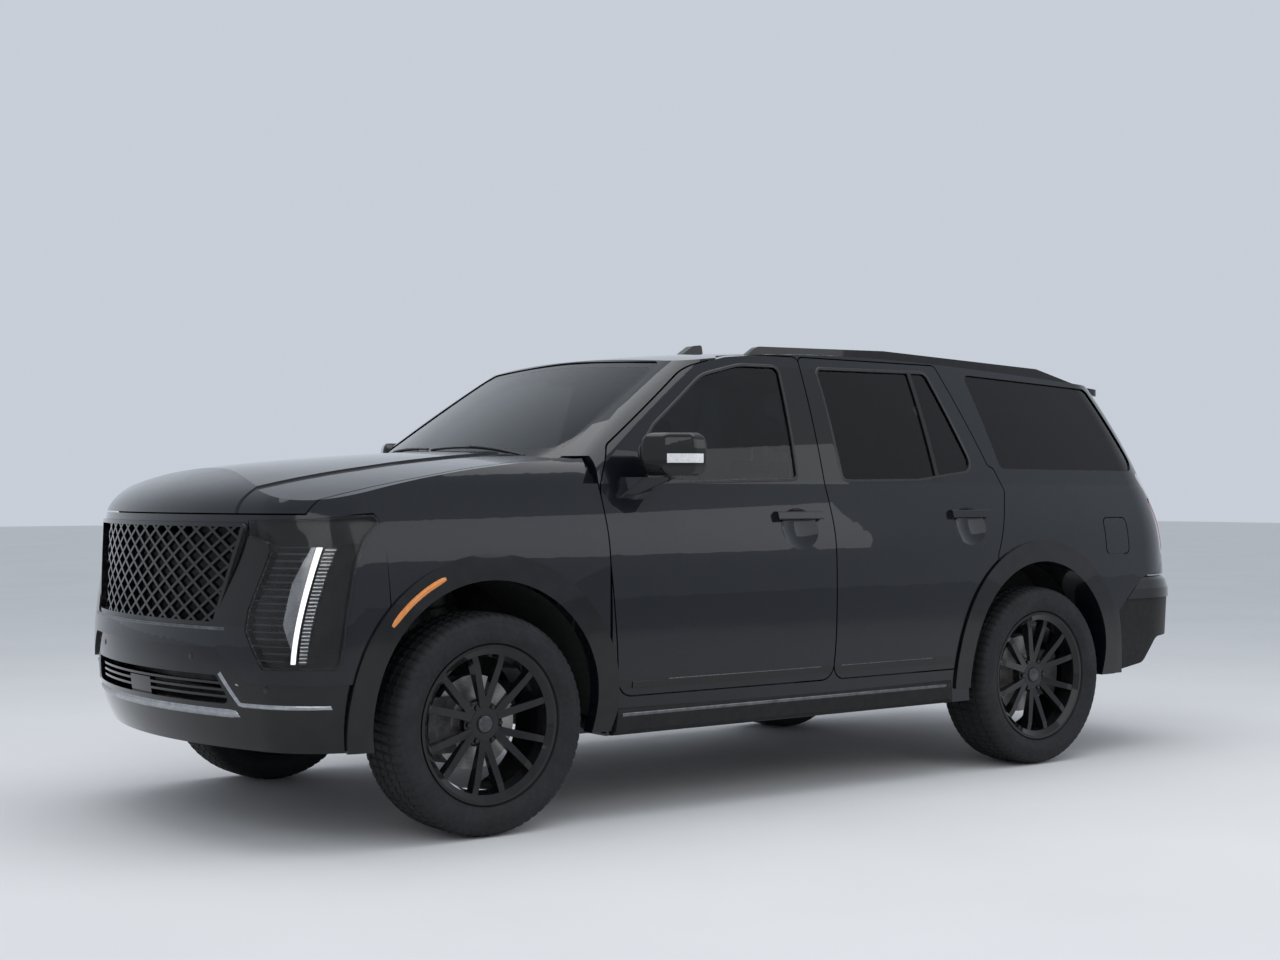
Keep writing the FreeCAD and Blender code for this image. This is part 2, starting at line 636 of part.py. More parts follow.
def front_fender():
    shell = FRONT_OUT.cut(FRONT_IN).common(side(FENDER))
    shell = shell.cut(hood_prism(SHUT_GAP)).cut(lamp_zone(LAMP_GAP))
    shell = shell.cut([arch_drum(FRONT_AXLE_X, ARCH_RADIUS, *RIGHT), upper_body(-2.0),
                       slab(-1500, -1100, COWL_HALF + SEAT_GAP, 1300, 1600)])
    return max(shell.Solids, key=lambda s: s.Volume)


# The line where the painted bumper meets the dark lower one. Columns: y, z, corner radius
LOWER_LINE_HALF = [(1300, 200, 0), (1300, 598, 0), (1000, 600, 0), (700, 604, 40), (555, 722, 60)]
INTAKE_HALF = [(612, 520, 20), (545, 622, 20)]
INTAKE_SLATS = (545.0, 569.0, 593.0)
SLAT_THICK = 9.0
LOWER_STEP = 14.0
RADAR = (-93.0, 93.0, 508.0, 584.0)


def lower_line(grow):
    return front_prism(grown(both_halves(LOWER_LINE_HALF), grow), -2900, -2000)


def bumper_shell(inset):
    region = side_prism(BUMPER, -FAR, FAR)
    shell = front_end(inset, inset).cut(FRONT_IN).common(region)
    return shell.cut(pair(arch_drum(FRONT_AXLE_X, ARCH_RADIUS, *RIGHT)) + pair(side(FENDER)))


def front_bumper():
    shell = bumper_shell(0)
    tools = [hood_prism(SHUT_GAP), grille_prism(LAMP_GAP), lower_line(0)] + pair(lamp_zone(LAMP_GAP))
    return max(shell.cut(tools).Solids, key=lambda s: s.Volume)


def front_bumper_lower():
    """The dark lower bumper, stepped in, with its slatted intake."""
    shell = bumper_shell(LOWER_STEP).common(lower_line(-SEAT_GAP))
    intake = front_prism(both_halves(INTAKE_HALF), -2900, -2300)
    slats = [slab(-2900, -2300, 640, z - SLAT_THICK / 2, z + SLAT_THICK / 2) for z in INTAKE_SLATS]
    radar = block(-2900, -2300, *RADAR)
    inner = front_end(LOWER_STEP + 10, LOWER_STEP + 10).cut(FRONT_IN)
    filled = inner.common(intake.common(joined(slats + [radar])))
    whole = joined([shell.cut(intake), filled])
    return max(whole.Solids, key=lambda s: s.Volume)


# The grille's lattice of slanting bars, on a plate bent like the nose
LATTICE_PITCH = 96.0
LATTICE_ROWS = 6
LATTICE_BAR = 11.0
GRILLE_RADIUS = 2070.0
GRILLE_LEAN = 3.6
GRILLE_INSET = 40.0
GRILLE_THICK = 16.0
GRILLE_FRAME = 16.0


def bent_plate(inset, thickness):
    """A leaning cylindrical shell that follows the nose, its front face set in by a depth."""
    middle_z = (GRILLE_HALF[0][1] + GRILLE_HALF[1][1]) / 2
    base = V(NOSE_X + inset + GRILLE_RADIUS, 0, middle_z - 500)
    shell = Part.makeCylinder(GRILLE_RADIUS, 1000, base)
    shell = shell.cut(Part.makeCylinder(GRILLE_RADIUS - thickness, 1000, base))
    shell = shell.common(block(-2900, -2300, -800, 800, middle_z - 500, middle_z + 500))
    shell.rotate(V(NOSE_X + inset, 0, middle_z), V(0, 1, 0), GRILLE_LEAN)
    return shell


def lattice_face(outline, plane_x):
    low, high = GRILLE_HALF[0][1], GRILLE_HALF[1][1]
    step = (high - low) / LATTICE_ROWS
    half_y = LATTICE_PITCH / 2 - LATTICE_BAR / 2 * math.hypot(LATTICE_PITCH, step) / step
    half_z = half_y * step / LATTICE_PITCH
    count = int(GRILLE_HALF[1][0] / LATTICE_PITCH) + 1
    face = Part.Face(closed_wire(outline, lambda p: V(plane_x, p.x, p.y)))
    holes = []
    for row in range(2 * LATTICE_ROWS + 1):
        z = low + row * step / 2
        for i in range(-count, count + 1):
            y = (i + (row % 2) / 2) * LATTICE_PITCH
            diamond = [(y - half_y, z, 0), (y, z + half_z, 0), (y + half_y, z, 0), (y, z - half_z, 0)]
            holes.append(Part.Face(closed_wire(diamond, lambda p: V(plane_x, p.x, p.y))))
    return face, holes


def grille():
    outline = both_halves(GRILLE_HALF)
    ring = grille_prism(0).cut(grille_prism(-GRILLE_FRAME)).common(bent_plate(GRILLE_INSET - 16, 44))
    inner = grown(outline, 2 - GRILLE_FRAME)
    face, holes = lattice_face(inner, -2750)
    net = face.cut(holes).extrude(V(350, 0, 0))
    whole = ring.fuse(net.common(bent_plate(GRILLE_INSET, GRILLE_THICK)))
    return max(whole.Solids, key=lambda s: s.Volume)


# Forms inside the headlamp, seen from the front on +Y. Columns: y, z, corner radius
LIGHT_BAR = [(872, 672, 3), (886, 672, 3), (909, 1088, 3), (897, 1088, 3)]
RIBBED_BAR = [(893, 676, 0), (912, 676, 0), (936, 1098, 0), (914, 1098, 0)]
LOUVRE_ZONE = [(706, 786, 0), (712, 868, 60), (784, 1054, 0), (866, 1084, 60), (832, 955, 120), (824, 812, 120),
               (866, 690, 0), (792, 662, 0)]
FIN_PITCH = 52.0
FIN_THICK = 6.0
LAMP_LENS = 4.0
LAMP_BED = 24.0
LAMP_BACK = (70.0, 40.0)
LAMP_EDGE = 7.0


def headlamp():
    """The housing, hollowed to its bed around the light bars and louvres that reach the lens."""
    far = (-2900, -1900)
    low, high = LOUVRE_ZONE[-1][1], LOUVRE_ZONE[3][1]
    count = int((high - low) / FIN_PITCH)
    levels = [low + (i + 0.5) * FIN_PITCH for i in range(count)]
    fins = [block(*far, 600, FAR, z - FIN_THICK / 2, z + FIN_THICK / 2) for z in levels]
    louvres = front_prism(LOUVRE_ZONE, *far).common(Part.makeCompound(fins))
    bars = [front_prism(LIGHT_BAR, *far), front_prism(RIBBED_BAR, *far)]
    hollow = lamp_zone(-LAMP_EDGE).cut(bars + [louvres])
    hollow = hollow.cut(front_end(LAMP_BED, LAMP_BED))
    face = LAMP_LENS + SEAT_GAP
    shell = front_end(face, face).cut(front_end(*LAMP_BACK)).common(lamp_zone(0))
    return max(shell.cut(hollow).Solids, key=lambda s: s.Volume)


def headlamp_lens():
    lens = FRONT_OUT.cut(front_end(LAMP_LENS, LAMP_LENS)).common(lamp_zone(-0.5))
    return max(lens.Solids, key=lambda s: s.Volume)


def tail_lamp():
    zone = side(TAIL_LAMP).cut(gate_prism(SHUT_GAP))
    lamp = joined([zone.common(outer).cut(lamp_in) for outer, lamp_in in zip(OUTER, LAMP_IN)])
    return max(lamp.Solids, key=lambda s: s.Volume)


# The rear bumper's plan at each height, as in LOWER_LEVELS
REAR_BUMPER_LEVELS = [
    (385, 110, 2070, 330, -40, 400, 70, 3200),
    (560, 0, 2070, 330, -14, 420, 6, 3200),
    (740, 0, 2070, 330, -2, 430, 0, 3200),
    (800, 0, 2070, 330, -2, 430, 2, 3200),
    (842, 0, 2070, 330, -8, 430, 16, 3200),
    (868, 0, 2070, 330, -20, 420, 50, 3200),
]


# The space below the rear bumper, from the side. Columns: x, z, corner radius
REAR_UNDERSIDE = [(1900, 388, 0), (2195, 430, 60), (2290, 556, 60), (2900, 566, 0), (2900, 200, 0),
                  (1900, 200, 0)]
REAR_STEP = 9.0
REAR_STEP_Z = 752.0


def rear_bumper_body(inset):
    wires = [plan_wire(level, inset) for level in REAR_BUMPER_LEVELS]
    return Part.makeLoft(wires, True, True).common(slab(1800, 2900, FAR, 0, BUMPER_TOP_Z))


def rear_bumper():
    """A shell stepped in below its band, with an underside that rises to the tail."""
    region = side_prism(REAR_BUMPER, -FAR, FAR).cut(side_prism(REAR_UNDERSIDE, -FAR, FAR))
    step = rear_bumper_body(0).cut(rear_bumper_body(REAR_STEP))
    step = step.common(slab(1800, 2900, FAR, 0, REAR_STEP_Z))
    shell = rear_bumper_body(0).cut(rear_bumper_body(60)).common(region).cut(step)
    return max(shell.Solids, key=lambda s: s.Volume)


def arch_moulding(axle_x):
    ring = arch_drum(axle_x, ARCH_RADIUS + MOULDING_WIDTH, *RIGHT)
    ring = ring.cut(arch_drum(axle_x, ARCH_RADIUS, *RIGHT))
    band = lower_body(-MOULDING_PROUD).cut(lower_body(-SEAT_GAP)).common(ring)
    low = SILL_Z + 20 if axle_x < 0 else BUMPER_LOW_Z
    band = band.common(block(-3000, 3000, 500, FAR, low, 1300))
    return max(band.Solids, key=lambda s: s.Volume)


LINER_RADIUS = 502.0
LINER_THICK = 5.0
LINER_INNER_Y = 505.0
REAR_HOUSE_Y = 636.0


def arch_liner(axle_x, inner_y, fit):
    ring = arch_drum(axle_x, LINER_RADIUS + LINER_THICK, inner_y, FAR)
    ring = ring.cut(arch_drum(axle_x, LINER_RADIUS, inner_y, FAR))
    ring = ring.common(block(-3000, 3000, 0, FAR, ARCH_CENTRE_Z - 60, 1300)).common(fit)
    return max(ring.Solids, key=lambda s: s.Volume)


def arch_liners():
    front = arch_liner(FRONT_AXLE_X, LINER_INNER_Y, front_end(FENDER_DEPTH + SEAT_GAP, HOOD_DEPTH + SEAT_GAP))
    rear = arch_liner(REAR_AXLE_X, REAR_HOUSE_Y, TRIM_OUT[0])
    wall = arch_drum(REAR_AXLE_X, LINER_RADIUS + LINER_THICK, REAR_HOUSE_Y - LINER_THICK, REAR_HOUSE_Y)
    wall = wall.common(block(-3000, 3000, 0, FAR, ARCH_CENTRE_Z + 110, 1300))
    return pair(front) + pair(rear.fuse(wall).removeSplitter())


def cowl():
    band = crown_body(HOOD_CROWN, 10, 100).cut(crown_body(HOOD_CROWN, 30, 0))
    band = band.common(slab(-1460, -1120, COWL_HALF, 1300, 1600)).cut(hood_prism(SHUT_GAP))
    band = band.cut(upper_body(-SEAT_GAP))
    return max(band.Solids, key=lambda s: s.Volume)


# Ladder frame, floor and drive line
RAIL_Y = (372.0, 448.0)
RAIL = [
    (-2500, 430, 0), (-1980, 430, 0), (-1900, 505, 0), (-1500, 505, 0), (-1400, 400, 0), (1080, 400, 0),
    (1170, 505, 0), (2440, 505, 0), (2440, 625, 0), (1130, 625, 0), (1030, 515, 0), (-1420, 515, 0),
    (-1520, 640, 0), (-1880, 640, 0), (-1990, 560, 0), (-2500, 560, 0),
]
CROSS_MEMBERS = [(-2490, 440, 550), (1700, 510, 615), (2360, 510, 615)]
# Members that pass below the drive line, hung from the rails. Column: x
LOW_MEMBERS = [-1180, -560, 60, 900]
LOW_MEMBER_Z = (318.0, 360.0)
FLOOR_Z = 515.0
REAR_FLOOR_Z = 690.0
FLOOR_STEP_X = 1010.0
FLOOR_THICK = 18.0
BULKHEAD_X = -1290.0
FLOOR_END_X = 2470.0


# The tow hitch: a square receiver tube on a cross bar hung below the rails
RECEIVER_OUT = 63.5
RECEIVER_IN = 51.0
RECEIVER_Z = 352.0
RECEIVER_X = (2330.0, 2585.0)
HITCH_PIN_X = 2540.0
HITCH_PIN_RADIUS = 8.0


def hitch():
    half = RECEIVER_OUT / 2
    bore = RECEIVER_IN / 2
    x0, x1 = RECEIVER_X
    tube = block(x0, x1, -half, half, RECEIVER_Z - half, RECEIVER_Z + half)
    bar = block(x0, x0 + 60, -RAIL_Y[1], RAIL_Y[1], RECEIVER_Z - 30, RECEIVER_Z + 30)
    plates = pair(block(x0 - 60, x0 + 100, RAIL_Y[1] - 8, RAIL_Y[1], RECEIVER_Z - 30, 505))
    whole = joined([tube, bar] + plates)
    whole = whole.cut(block(x0 + 60, x1, -bore, bore, RECEIVER_Z - bore, RECEIVER_Z + bore))
    return whole.cut(drum(HITCH_PIN_X, RECEIVER_Z, HITCH_PIN_RADIUS, -half, half))


def chassis_frame():
    rails = pair(side_prism(RAIL, *RAIL_Y))
    beams = [slab(x, x + 70, RAIL_Y[0] + 20, z0, z1) for x, z0, z1 in CROSS_MEMBERS]
    for x in LOW_MEMBERS:
        beams.append(slab(x, x + 70, RAIL_Y[1], *LOW_MEMBER_Z))
        beams += pair(block(x, x + 70, *RAIL_Y, LOW_MEMBER_Z[1], 401))
    radiator = slab(-2470, -2420, 520, 560, 1120)
    return joined(rails + beams + [hitch(), radiator])


def floor_pan():
    z0, t = FLOOR_Z + SEAT_GAP, FLOOR_THICK
    z1 = REAR_FLOOR_Z
    pan = joined([
        slab(BULKHEAD_X, FLOOR_STEP_X, FAR, z0, z0 + t),
        slab(FLOOR_STEP_X - t, FLOOR_STEP_X, FAR, z0, z1 + t),
        slab(FLOOR_STEP_X - t, FLOOR_END_X, FAR, z1, z1 + t),
        slab(BULKHEAD_X - t, BULKHEAD_X, FAR, z0, BELT_Z - 1),
        slab(FLOOR_END_X - t, FLOOR_END_X, 640, 630, BUMPER_TOP_Z - 20),
    ])
    pan = pan.common(lower_body(FRAME_DEPTH_LOW + SEAT_GAP))
    for axle_x, inner_y in ((REAR_AXLE_X, REAR_HOUSE_Y - LINER_THICK), (FRONT_AXLE_X, LINER_INNER_Y)):
        house = arch_drum(axle_x, LINER_RADIUS + LINER_THICK + SEAT_GAP, inner_y - SEAT_GAP, FAR)
        pan = pan.cut(pair(house))
    return max(pan.Solids, key=lambda s: s.Volume)


def engine_block():
    engine = block(-2330, -1640, -270, 270, 660, 1150)
    sump = block(-2200, -1900, -190, 190, 570, 660)
    gearbox = rod((-1640, 0, 720), (-1345, 0, 700), 190)
    return joined([engine, sump, gearbox])


def transmission():
    case = rod((-1305, 0, 440), (-640, 0, 436), 72)
    shaft = rod((-640, 0, 440), (REAR_AXLE_X - 112, 0, AXLE_Z), 30)
    return joined([case, shaft])


# The exhaust pipe's run. Columns: x, y, z
EXHAUST_RUN = [(-1250, 250, 432), (1120, 250, 432), (1230, 250, 476), (1500, 250, 476), (1580, 320, 430)]
EXHAUST_RADIUS = 26.0
SILENCER = (1560.0, 1990.0, 290.0, 440.0, 340.0, 480.0)


def exhaust():
    runs = [rod(a, b, EXHAUST_RADIUS) for a, b in zip(EXHAUST_RUN, EXHAUST_RUN[1:])]
    bends = [Part.makeSphere(EXHAUST_RADIUS, V(*p)) for p in EXHAUST_RUN[1:-1]]
    tail = rod((SILENCER[1] - 10, 345, 430), (2480, 345, 430), 30)
    return joined(runs + bends + [block(*SILENCER), tail])


def fuel_tank():
    return block(180, 860, -350, -60, 330, FLOOR_Z - SEAT_GAP)


def spare_wheel():
    centre = V(1990, -60, 345)
    return Part.makeCylinder(330, 150, centre).cut(Part.makeCylinder(60, 40, centre))


# Front suspension. The steering axis is a little inboard of the tyre's middle.
KING_Y = WHEEL_Y - 52.5
KING_LOW_Z = 286.0
KING_HIGH_Z = 560.0
DISC_Y = WHEEL_Y - 20.0
HUB_FACE_Y = WHEEL_Y + 26.0
CALIPER_OUT = 236.0
RUNNING_GAP = 6.0
SPINDLE_RADIUS = 21.0
HUB_BORE = SPINDLE_RADIUS + RUNNING_GAP


def knuckle(axle_x, steers):
    plate = side_prism([(axle_x - 45, KING_LOW_Z + 14, 20), (axle_x - 60, AXLE_Z, 60),
                        (axle_x - 30, KING_HIGH_Z - 14, 12), (axle_x + 30, KING_HIGH_Z - 14, 12),
                        (axle_x + 60, AXLE_Z, 60), (axle_x + 45, KING_LOW_Z + 14, 20)],
                       KING_Y - 20, DISC_Y - DISC_WIDTH / 2 - 8)
    hub = drum(axle_x, AXLE_Z, 62, KING_Y - 32, DISC_Y - DISC_WIDTH / 2 - RUNNING_GAP)
    spindle = drum(axle_x, AXLE_Z, SPINDLE_RADIUS, KING_Y, HUB_FACE_Y + 30)
    balls = [Part.makeCylinder(11, 14, V(axle_x, KING_Y, z)) for z in (KING_LOW_Z, KING_HIGH_Z - 14)]
    front = -1 if steers else 1
    y0, y1 = DISC_Y - DISC_WIDTH / 2 - 26, DISC_Y + DISC_WIDTH / 2 + 24
    caliper = drum(axle_x, AXLE_Z, CALIPER_OUT, y0, y1).cut(drum(axle_x, AXLE_Z, 118, y0, y1))
    x0, x1 = sorted((axle_x + front * 90, axle_x + front * 300))
    caliper = caliper.common(block(x0, x1, y0, y1, AXLE_Z - 105, AXLE_Z + 105))
    slot = drum(axle_x, AXLE_Z, DISC_RADIUS + RUNNING_GAP, DISC_Y - DISC_WIDTH / 2 - RUNNING_GAP,
                DISC_Y + DISC_WIDTH / 2 + RUNNING_GAP)
    x0, x1 = sorted((axle_x, axle_x + front * 130))
    bracket = block(x0, x1, KING_Y - 20, KING_Y + 6, AXLE_Z - 40, AXLE_Z + 40)
    return joined([plate, hub, spindle, bracket, caliper.cut(slot)] + balls)


def suspension_arm(axle_x, z, reach, spread, thick):
    end_y = KING_Y + 2
    rows = [(axle_x - 16, end_y, 8), (axle_x + 16, end_y, 8), (axle_x + spread, RAIL_Y[1], 10),
            (axle_x + spread - 60, RAIL_Y[1], 10), (axle_x, reach, 30), (axle_x - spread + 60, RAIL_Y[1], 10),
            (axle_x - spread, RAIL_Y[1], 10)]
    return plan_prism(rows, z, z + thick)


def front_suspension():
    lower = suspension_arm(FRONT_AXLE_X, KING_LOW_Z - 34, 640, 150, 34 - SEAT_GAP)
    upper = suspension_arm(FRONT_AXLE_X, KING_HIGH_Z + SEAT_GAP, 680, 105, 22)
    seat = block(FRONT_AXLE_X - 150, FRONT_AXLE_X + 150, RAIL_Y[1] - 60, RAIL_Y[1] + 24, KING_LOW_Z - 34, 504.7)
    top = block(FRONT_AXLE_X - 110, FRONT_AXLE_X + 110, RAIL_Y[1] + SEAT_GAP, RAIL_Y[1] + 60, 520, 640)
    strut = rod((FRONT_AXLE_X, 600, KING_LOW_Z - 10), (FRONT_AXLE_X, 560, 930), 34)
    spring = rod((FRONT_AXLE_X, 585, 480), (FRONT_AXLE_X, 562, 880), 52)
    right = joined([lower, upper, seat, top, strut.cut(upper), spring.cut(upper)])
    case = drum(FRONT_AXLE_X, AXLE_Z, 80, -150, 150)
    shafts = drum(FRONT_AXLE_X, AXLE_Z, 18, -760, 760)
    rack = drum(FRONT_AXLE_X + 175, 350, 26, -470, 470)
    return joined([right, mirrored(right), case, shafts, rack])


def rear_suspension():
    x = REAR_AXLE_X
    lower = suspension_arm(x, KING_LOW_Z - 34, 640, 150, 34 + 14)
    upper = suspension_arm(x, KING_HIGH_Z - 14, 680, 105, 22)
    seat = block(x - 150, x + 150, RAIL_Y[1] - 60, RAIL_Y[1] + 24, KING_LOW_Z - 34, 504.7)
    strut = rod((x, 600, KING_LOW_Z - 10), (x, 570, 640), 46)
    hub = knuckle(x, False)
    top = block(x - 90, x + 90, RAIL_Y[1] + SEAT_GAP, RAIL_Y[1] + 60, 520, 625)
    right = joined([lower, upper, seat, strut, hub, top])
    case = joined([drum(x, AXLE_Z, 92, -140, 140), block(x - 110, x, -60, 60, AXLE_Z - 50, AXLE_Z + 50)])
    shafts = drum(x, AXLE_Z, 20, -KING_Y, KING_Y)
    return joined([right, mirrored(right), case, shafts])


def revolved(rows, axle_x, y):
    """Rows are (distance from the wheel's middle plane, radius); revolved about the axle."""
    points = [V(axle_x, y + off, AXLE_Z + radius) for off, radius in rows]
    face = Part.Face(Part.makePolygon(points + points[:1]))
    return face.revolve(V(axle_x, y, AXLE_Z), V(0, 1, 0), 360)


# The tyre's section on one side. Columns: distance from the middle plane, radius
TYRE_SECTION = [(104, BEAD_RADIUS + SEAT_GAP), (104, FLANGE_RADIUS + 3), (116, FLANGE_RADIUS + 7),
                (133, 330), (137.5, 356), (134, 384), (124, 402), (104, 411.5), (55, 415.8)]


def tyre(axle_x):
    """The tyre's section from bead to bead, with bulged walls and a crowned tread."""
    other = [(-off, radius) for off, radius in reversed(TYRE_SECTION)]
    return revolved(TYRE_SECTION + [(0, TYRE_RADIUS)] + other, axle_x, WHEEL_Y)


def rim(axle_x):
    half = RIM_WIDTH / 2
    inner = BEAD_RADIUS - RIM_WALL
    barrel = revolved([
        (-half, FLANGE_RADIUS), (-half + 11.5, FLANGE_RADIUS), (-half + 11.5, BEAD_RADIUS),
        (half - 11.5, BEAD_RADIUS), (half - 11.5, FLANGE_RADIUS), (half, FLANGE_RADIUS),
        (half, FLANGE_RADIUS - 12), (half - 16, inner + 4), (half - 60, inner - 8), (-half, inner + 8),
    ], axle_x, WHEEL_Y)
    hub = revolved([(26, 0), (26, 84), (62, 84), (74, 60), (74, 0)], axle_x, WHEEL_Y)
    bore = drum(axle_x, AXLE_Z, HUB_BORE, WHEEL_Y, WHEEL_Y + 62)
    spokes = []
    for index in range(SPOKE_PAIRS):
        for lean in (-1, 1):
            rows = [(lean * 4 - 16, 60, 0), (lean * 4 + 16, 60, 0), (lean * 62 + 13, inner + 4, 0),
                    (lean * 62 - 13, inner + 4, 0)]
            wire = [V(axle_x + u, WHEEL_Y + 58, AXLE_Z + v) for u, v, _ in rows]
            bar = Part.Face(Part.makePolygon(wire + wire[:1])).extrude(V(0, 42, 0))
            bar.rotate(V(axle_x, WHEEL_Y, AXLE_Z), V(0, 1, 0), 360 / SPOKE_PAIRS * index)
            spokes.append(bar)
    disc = drum(axle_x, AXLE_Z, inner + 20, WHEEL_Y + 58, WHEEL_Y + 100)
    dish = revolved([(58, 60), (58, inner + 30), (99, inner + 30), (99, inner - 30), (72, 60)], axle_x, WHEEL_Y)
    spokes = [bar.common(disc).common(dish) for bar in spokes]
    return joined([barrel, hub] + spokes).cut(bore)


def brake_disc(axle_x):
    disc = drum(axle_x, AXLE_Z, DISC_RADIUS, DISC_Y - DISC_WIDTH / 2, DISC_Y + DISC_WIDTH / 2)
    hat = drum(axle_x, AXLE_Z, 90, DISC_Y, HUB_FACE_Y - SEAT_GAP)
    return disc.fuse(hat).cut(drum(axle_x, AXLE_Z, HUB_BORE, DISC_Y - 60, HUB_FACE_Y)).removeSplitter()


def at_left(shape):
    return mirrored(shape)


# Seats. Columns: x of the cushion's front edge, middle y, half width
SEAT_ROWS = {
    "front_seats": [(-520, 390, 265), (-520, -390, 265)],
    "middle_seats": [(360, 390, 270), (360, -390, 270)],
    "rear_bench": [(1230, 0, 560)],
}
SEAT_FLOOR = {"front_seats": FLOOR_Z, "middle_seats": FLOOR_Z, "rear_bench": REAR_FLOOR_Z}
SEAT_HEIGHT = {"front_seats": 350.0, "middle_seats": 350.0, "rear_bench": 240.0}


def seat(x, y, half, floor_z, height):
    top = floor_z + height
    foot = block(x + 90, x + 430, y - half + 60, y + half - 60, floor_z + FLOOR_THICK + 2 * SEAT_GAP, top - 130)
    cushion = side_prism([(x, top - 130, 40), (x, top, 50), (x + 500, top - 30, 20), (x + 500, top - 150, 20)],
                         y - half, y + half)
    back = side_prism([(x + 440, top - 60, 30), (x + 590, top + 590, 50), (x + 700, top + 575, 40),
                       (x + 575, top - 90, 30)], y - half + 10, y + half - 10)
    posts = [y] if half < 300 else [y - half / 2, y + half / 2]
    heads = [side_prism([(x + 590, top + 620, 40), (x + 612, top + 780, 35), (x + 700, top + 770, 35),
                         (x + 690, top + 600, 20)], p - 125, p + 125) for p in posts]
    stems = [block(x + 630, x + 660, p - 60, p + 60, top + 560, top + 640) for p in posts]
    return joined([foot, cushion, back] + heads + stems)


def dashboard():
    profile = [(-1250, 950, 30), (-1262, 1330, 40), (-960, 1290, 60), (-830, 1190, 60), (-870, 960, 60)]
    panel = side_prism(profile, -FAR, FAR).common(lower_body(FRAME_DEPTH_LOW + SEAT_GAP))
    floor_top = FLOOR_Z + FLOOR_THICK + 2 * SEAT_GAP
    console = side_prism([(-1140, floor_top, 0), (-1140, 1000, 0), (-900, 1000, 60), (-760, 870, 80),
                          (60, 850, 40), (60, floor_top, 0)], -120, 120)
    column = rod((-900, STEER_Y, 1080), (-900 + 112, STEER_Y, 1080 + 50), 34)
    return joined([panel, console, column])


STEER_Y = -390.0
STEER_CENTRE = V(-735.0, STEER_Y, 1153.0)
STEER_AXIS = V(140.0, 0.0, 62.0).normalize()


def steering_wheel():
    """Built flat about Z, then leaned to the column's axis."""
    ring = Part.makeTorus(178, 15)
    hub = block(-70, 70, -78, 78, -18, 20)
    spokes = block(-14, 14, -178, 178, -8, 8).fuse(block(0, 178, -24, 24, -8, 8))
    wheel = joined([ring, hub, spokes])
    lean = math.degrees(math.atan2(STEER_AXIS.x, STEER_AXIS.z))
    wheel.rotate(V(0, 0, 0), V(0, 1, 0), lean)
    wheel.translate(STEER_CENTRE)
    return wheel


# A roof rail from the side; the roof cuts it along its foot. Columns: x, z, corner radius
ROOF_RAIL = [(-230, 1850, 0), (-130, 1916, 60), (640, 1930, 0), (1700, 1889, 60), (2040, 1812, 0),
             (2040, 1760, 0), (-230, 1790, 0)]
ROOF_RAIL_Y = (646.0, 676.0)


def roof_rail():
    rail = side_prism(ROOF_RAIL, *ROOF_RAIL_Y).cut(upper_body(-SEAT_GAP))
    return max(rail.Solids, key=lambda s: s.Volume)


def roof_antenna():
    fin = side_prism([(-60, 1900, 0), (40, 1966, 30), (92, 1972, 12), (104, 1900, 0)], -24, 24)
    return max(fin.cut(upper_body(-SEAT_GAP)).Solids, key=lambda s: s.Volume)


def running_board():
    board = plan_prism([(-1240, 800, 0), (-1240, 965, 40), (-1190, 992, 60), (745, 992, 60), (795, 965, 40),
                        (795, 800, 0)], 330, 452)
    shape = front_prism([(800, 322, 0), (800, 442, 0), (940, 452, 12), (992, 432, 20), (996, 352, 20),
                         (960, 322, 20)], -1300, 900)
    board = board.common(shape)
    ring = ARCH_RADIUS + MOULDING_WIDTH + 2
    board = board.cut([arch_drum(axle_x, ring, *RIGHT) for axle_x in arch_centres()])
    brackets = [block(x, x + 60, RAIL_Y[1] + SEAT_GAP, 830, 405, 430) for x in (-1050, -200, 650)]
    return joined([board] + brackets).cut(lower_body(-SEAT_GAP).common(slab(-3000, 3000, FAR, SILL_Z, 1000)))


def running_boards():
    board = running_board()
    board = max(board.Solids, key=lambda s: s.Volume)
    return pair(board)


def fuel_flap():
    return mirrored(side(FUEL_DOOR).common(OUTER[0]).cut(lower_body(SKIN_LAYER - 2)))


def write(name, *shapes):
    shape = shapes[0] if len(shapes) == 1 else Part.makeCompound(list(shapes))
    shape.exportStep("parts/" + name + ".step")


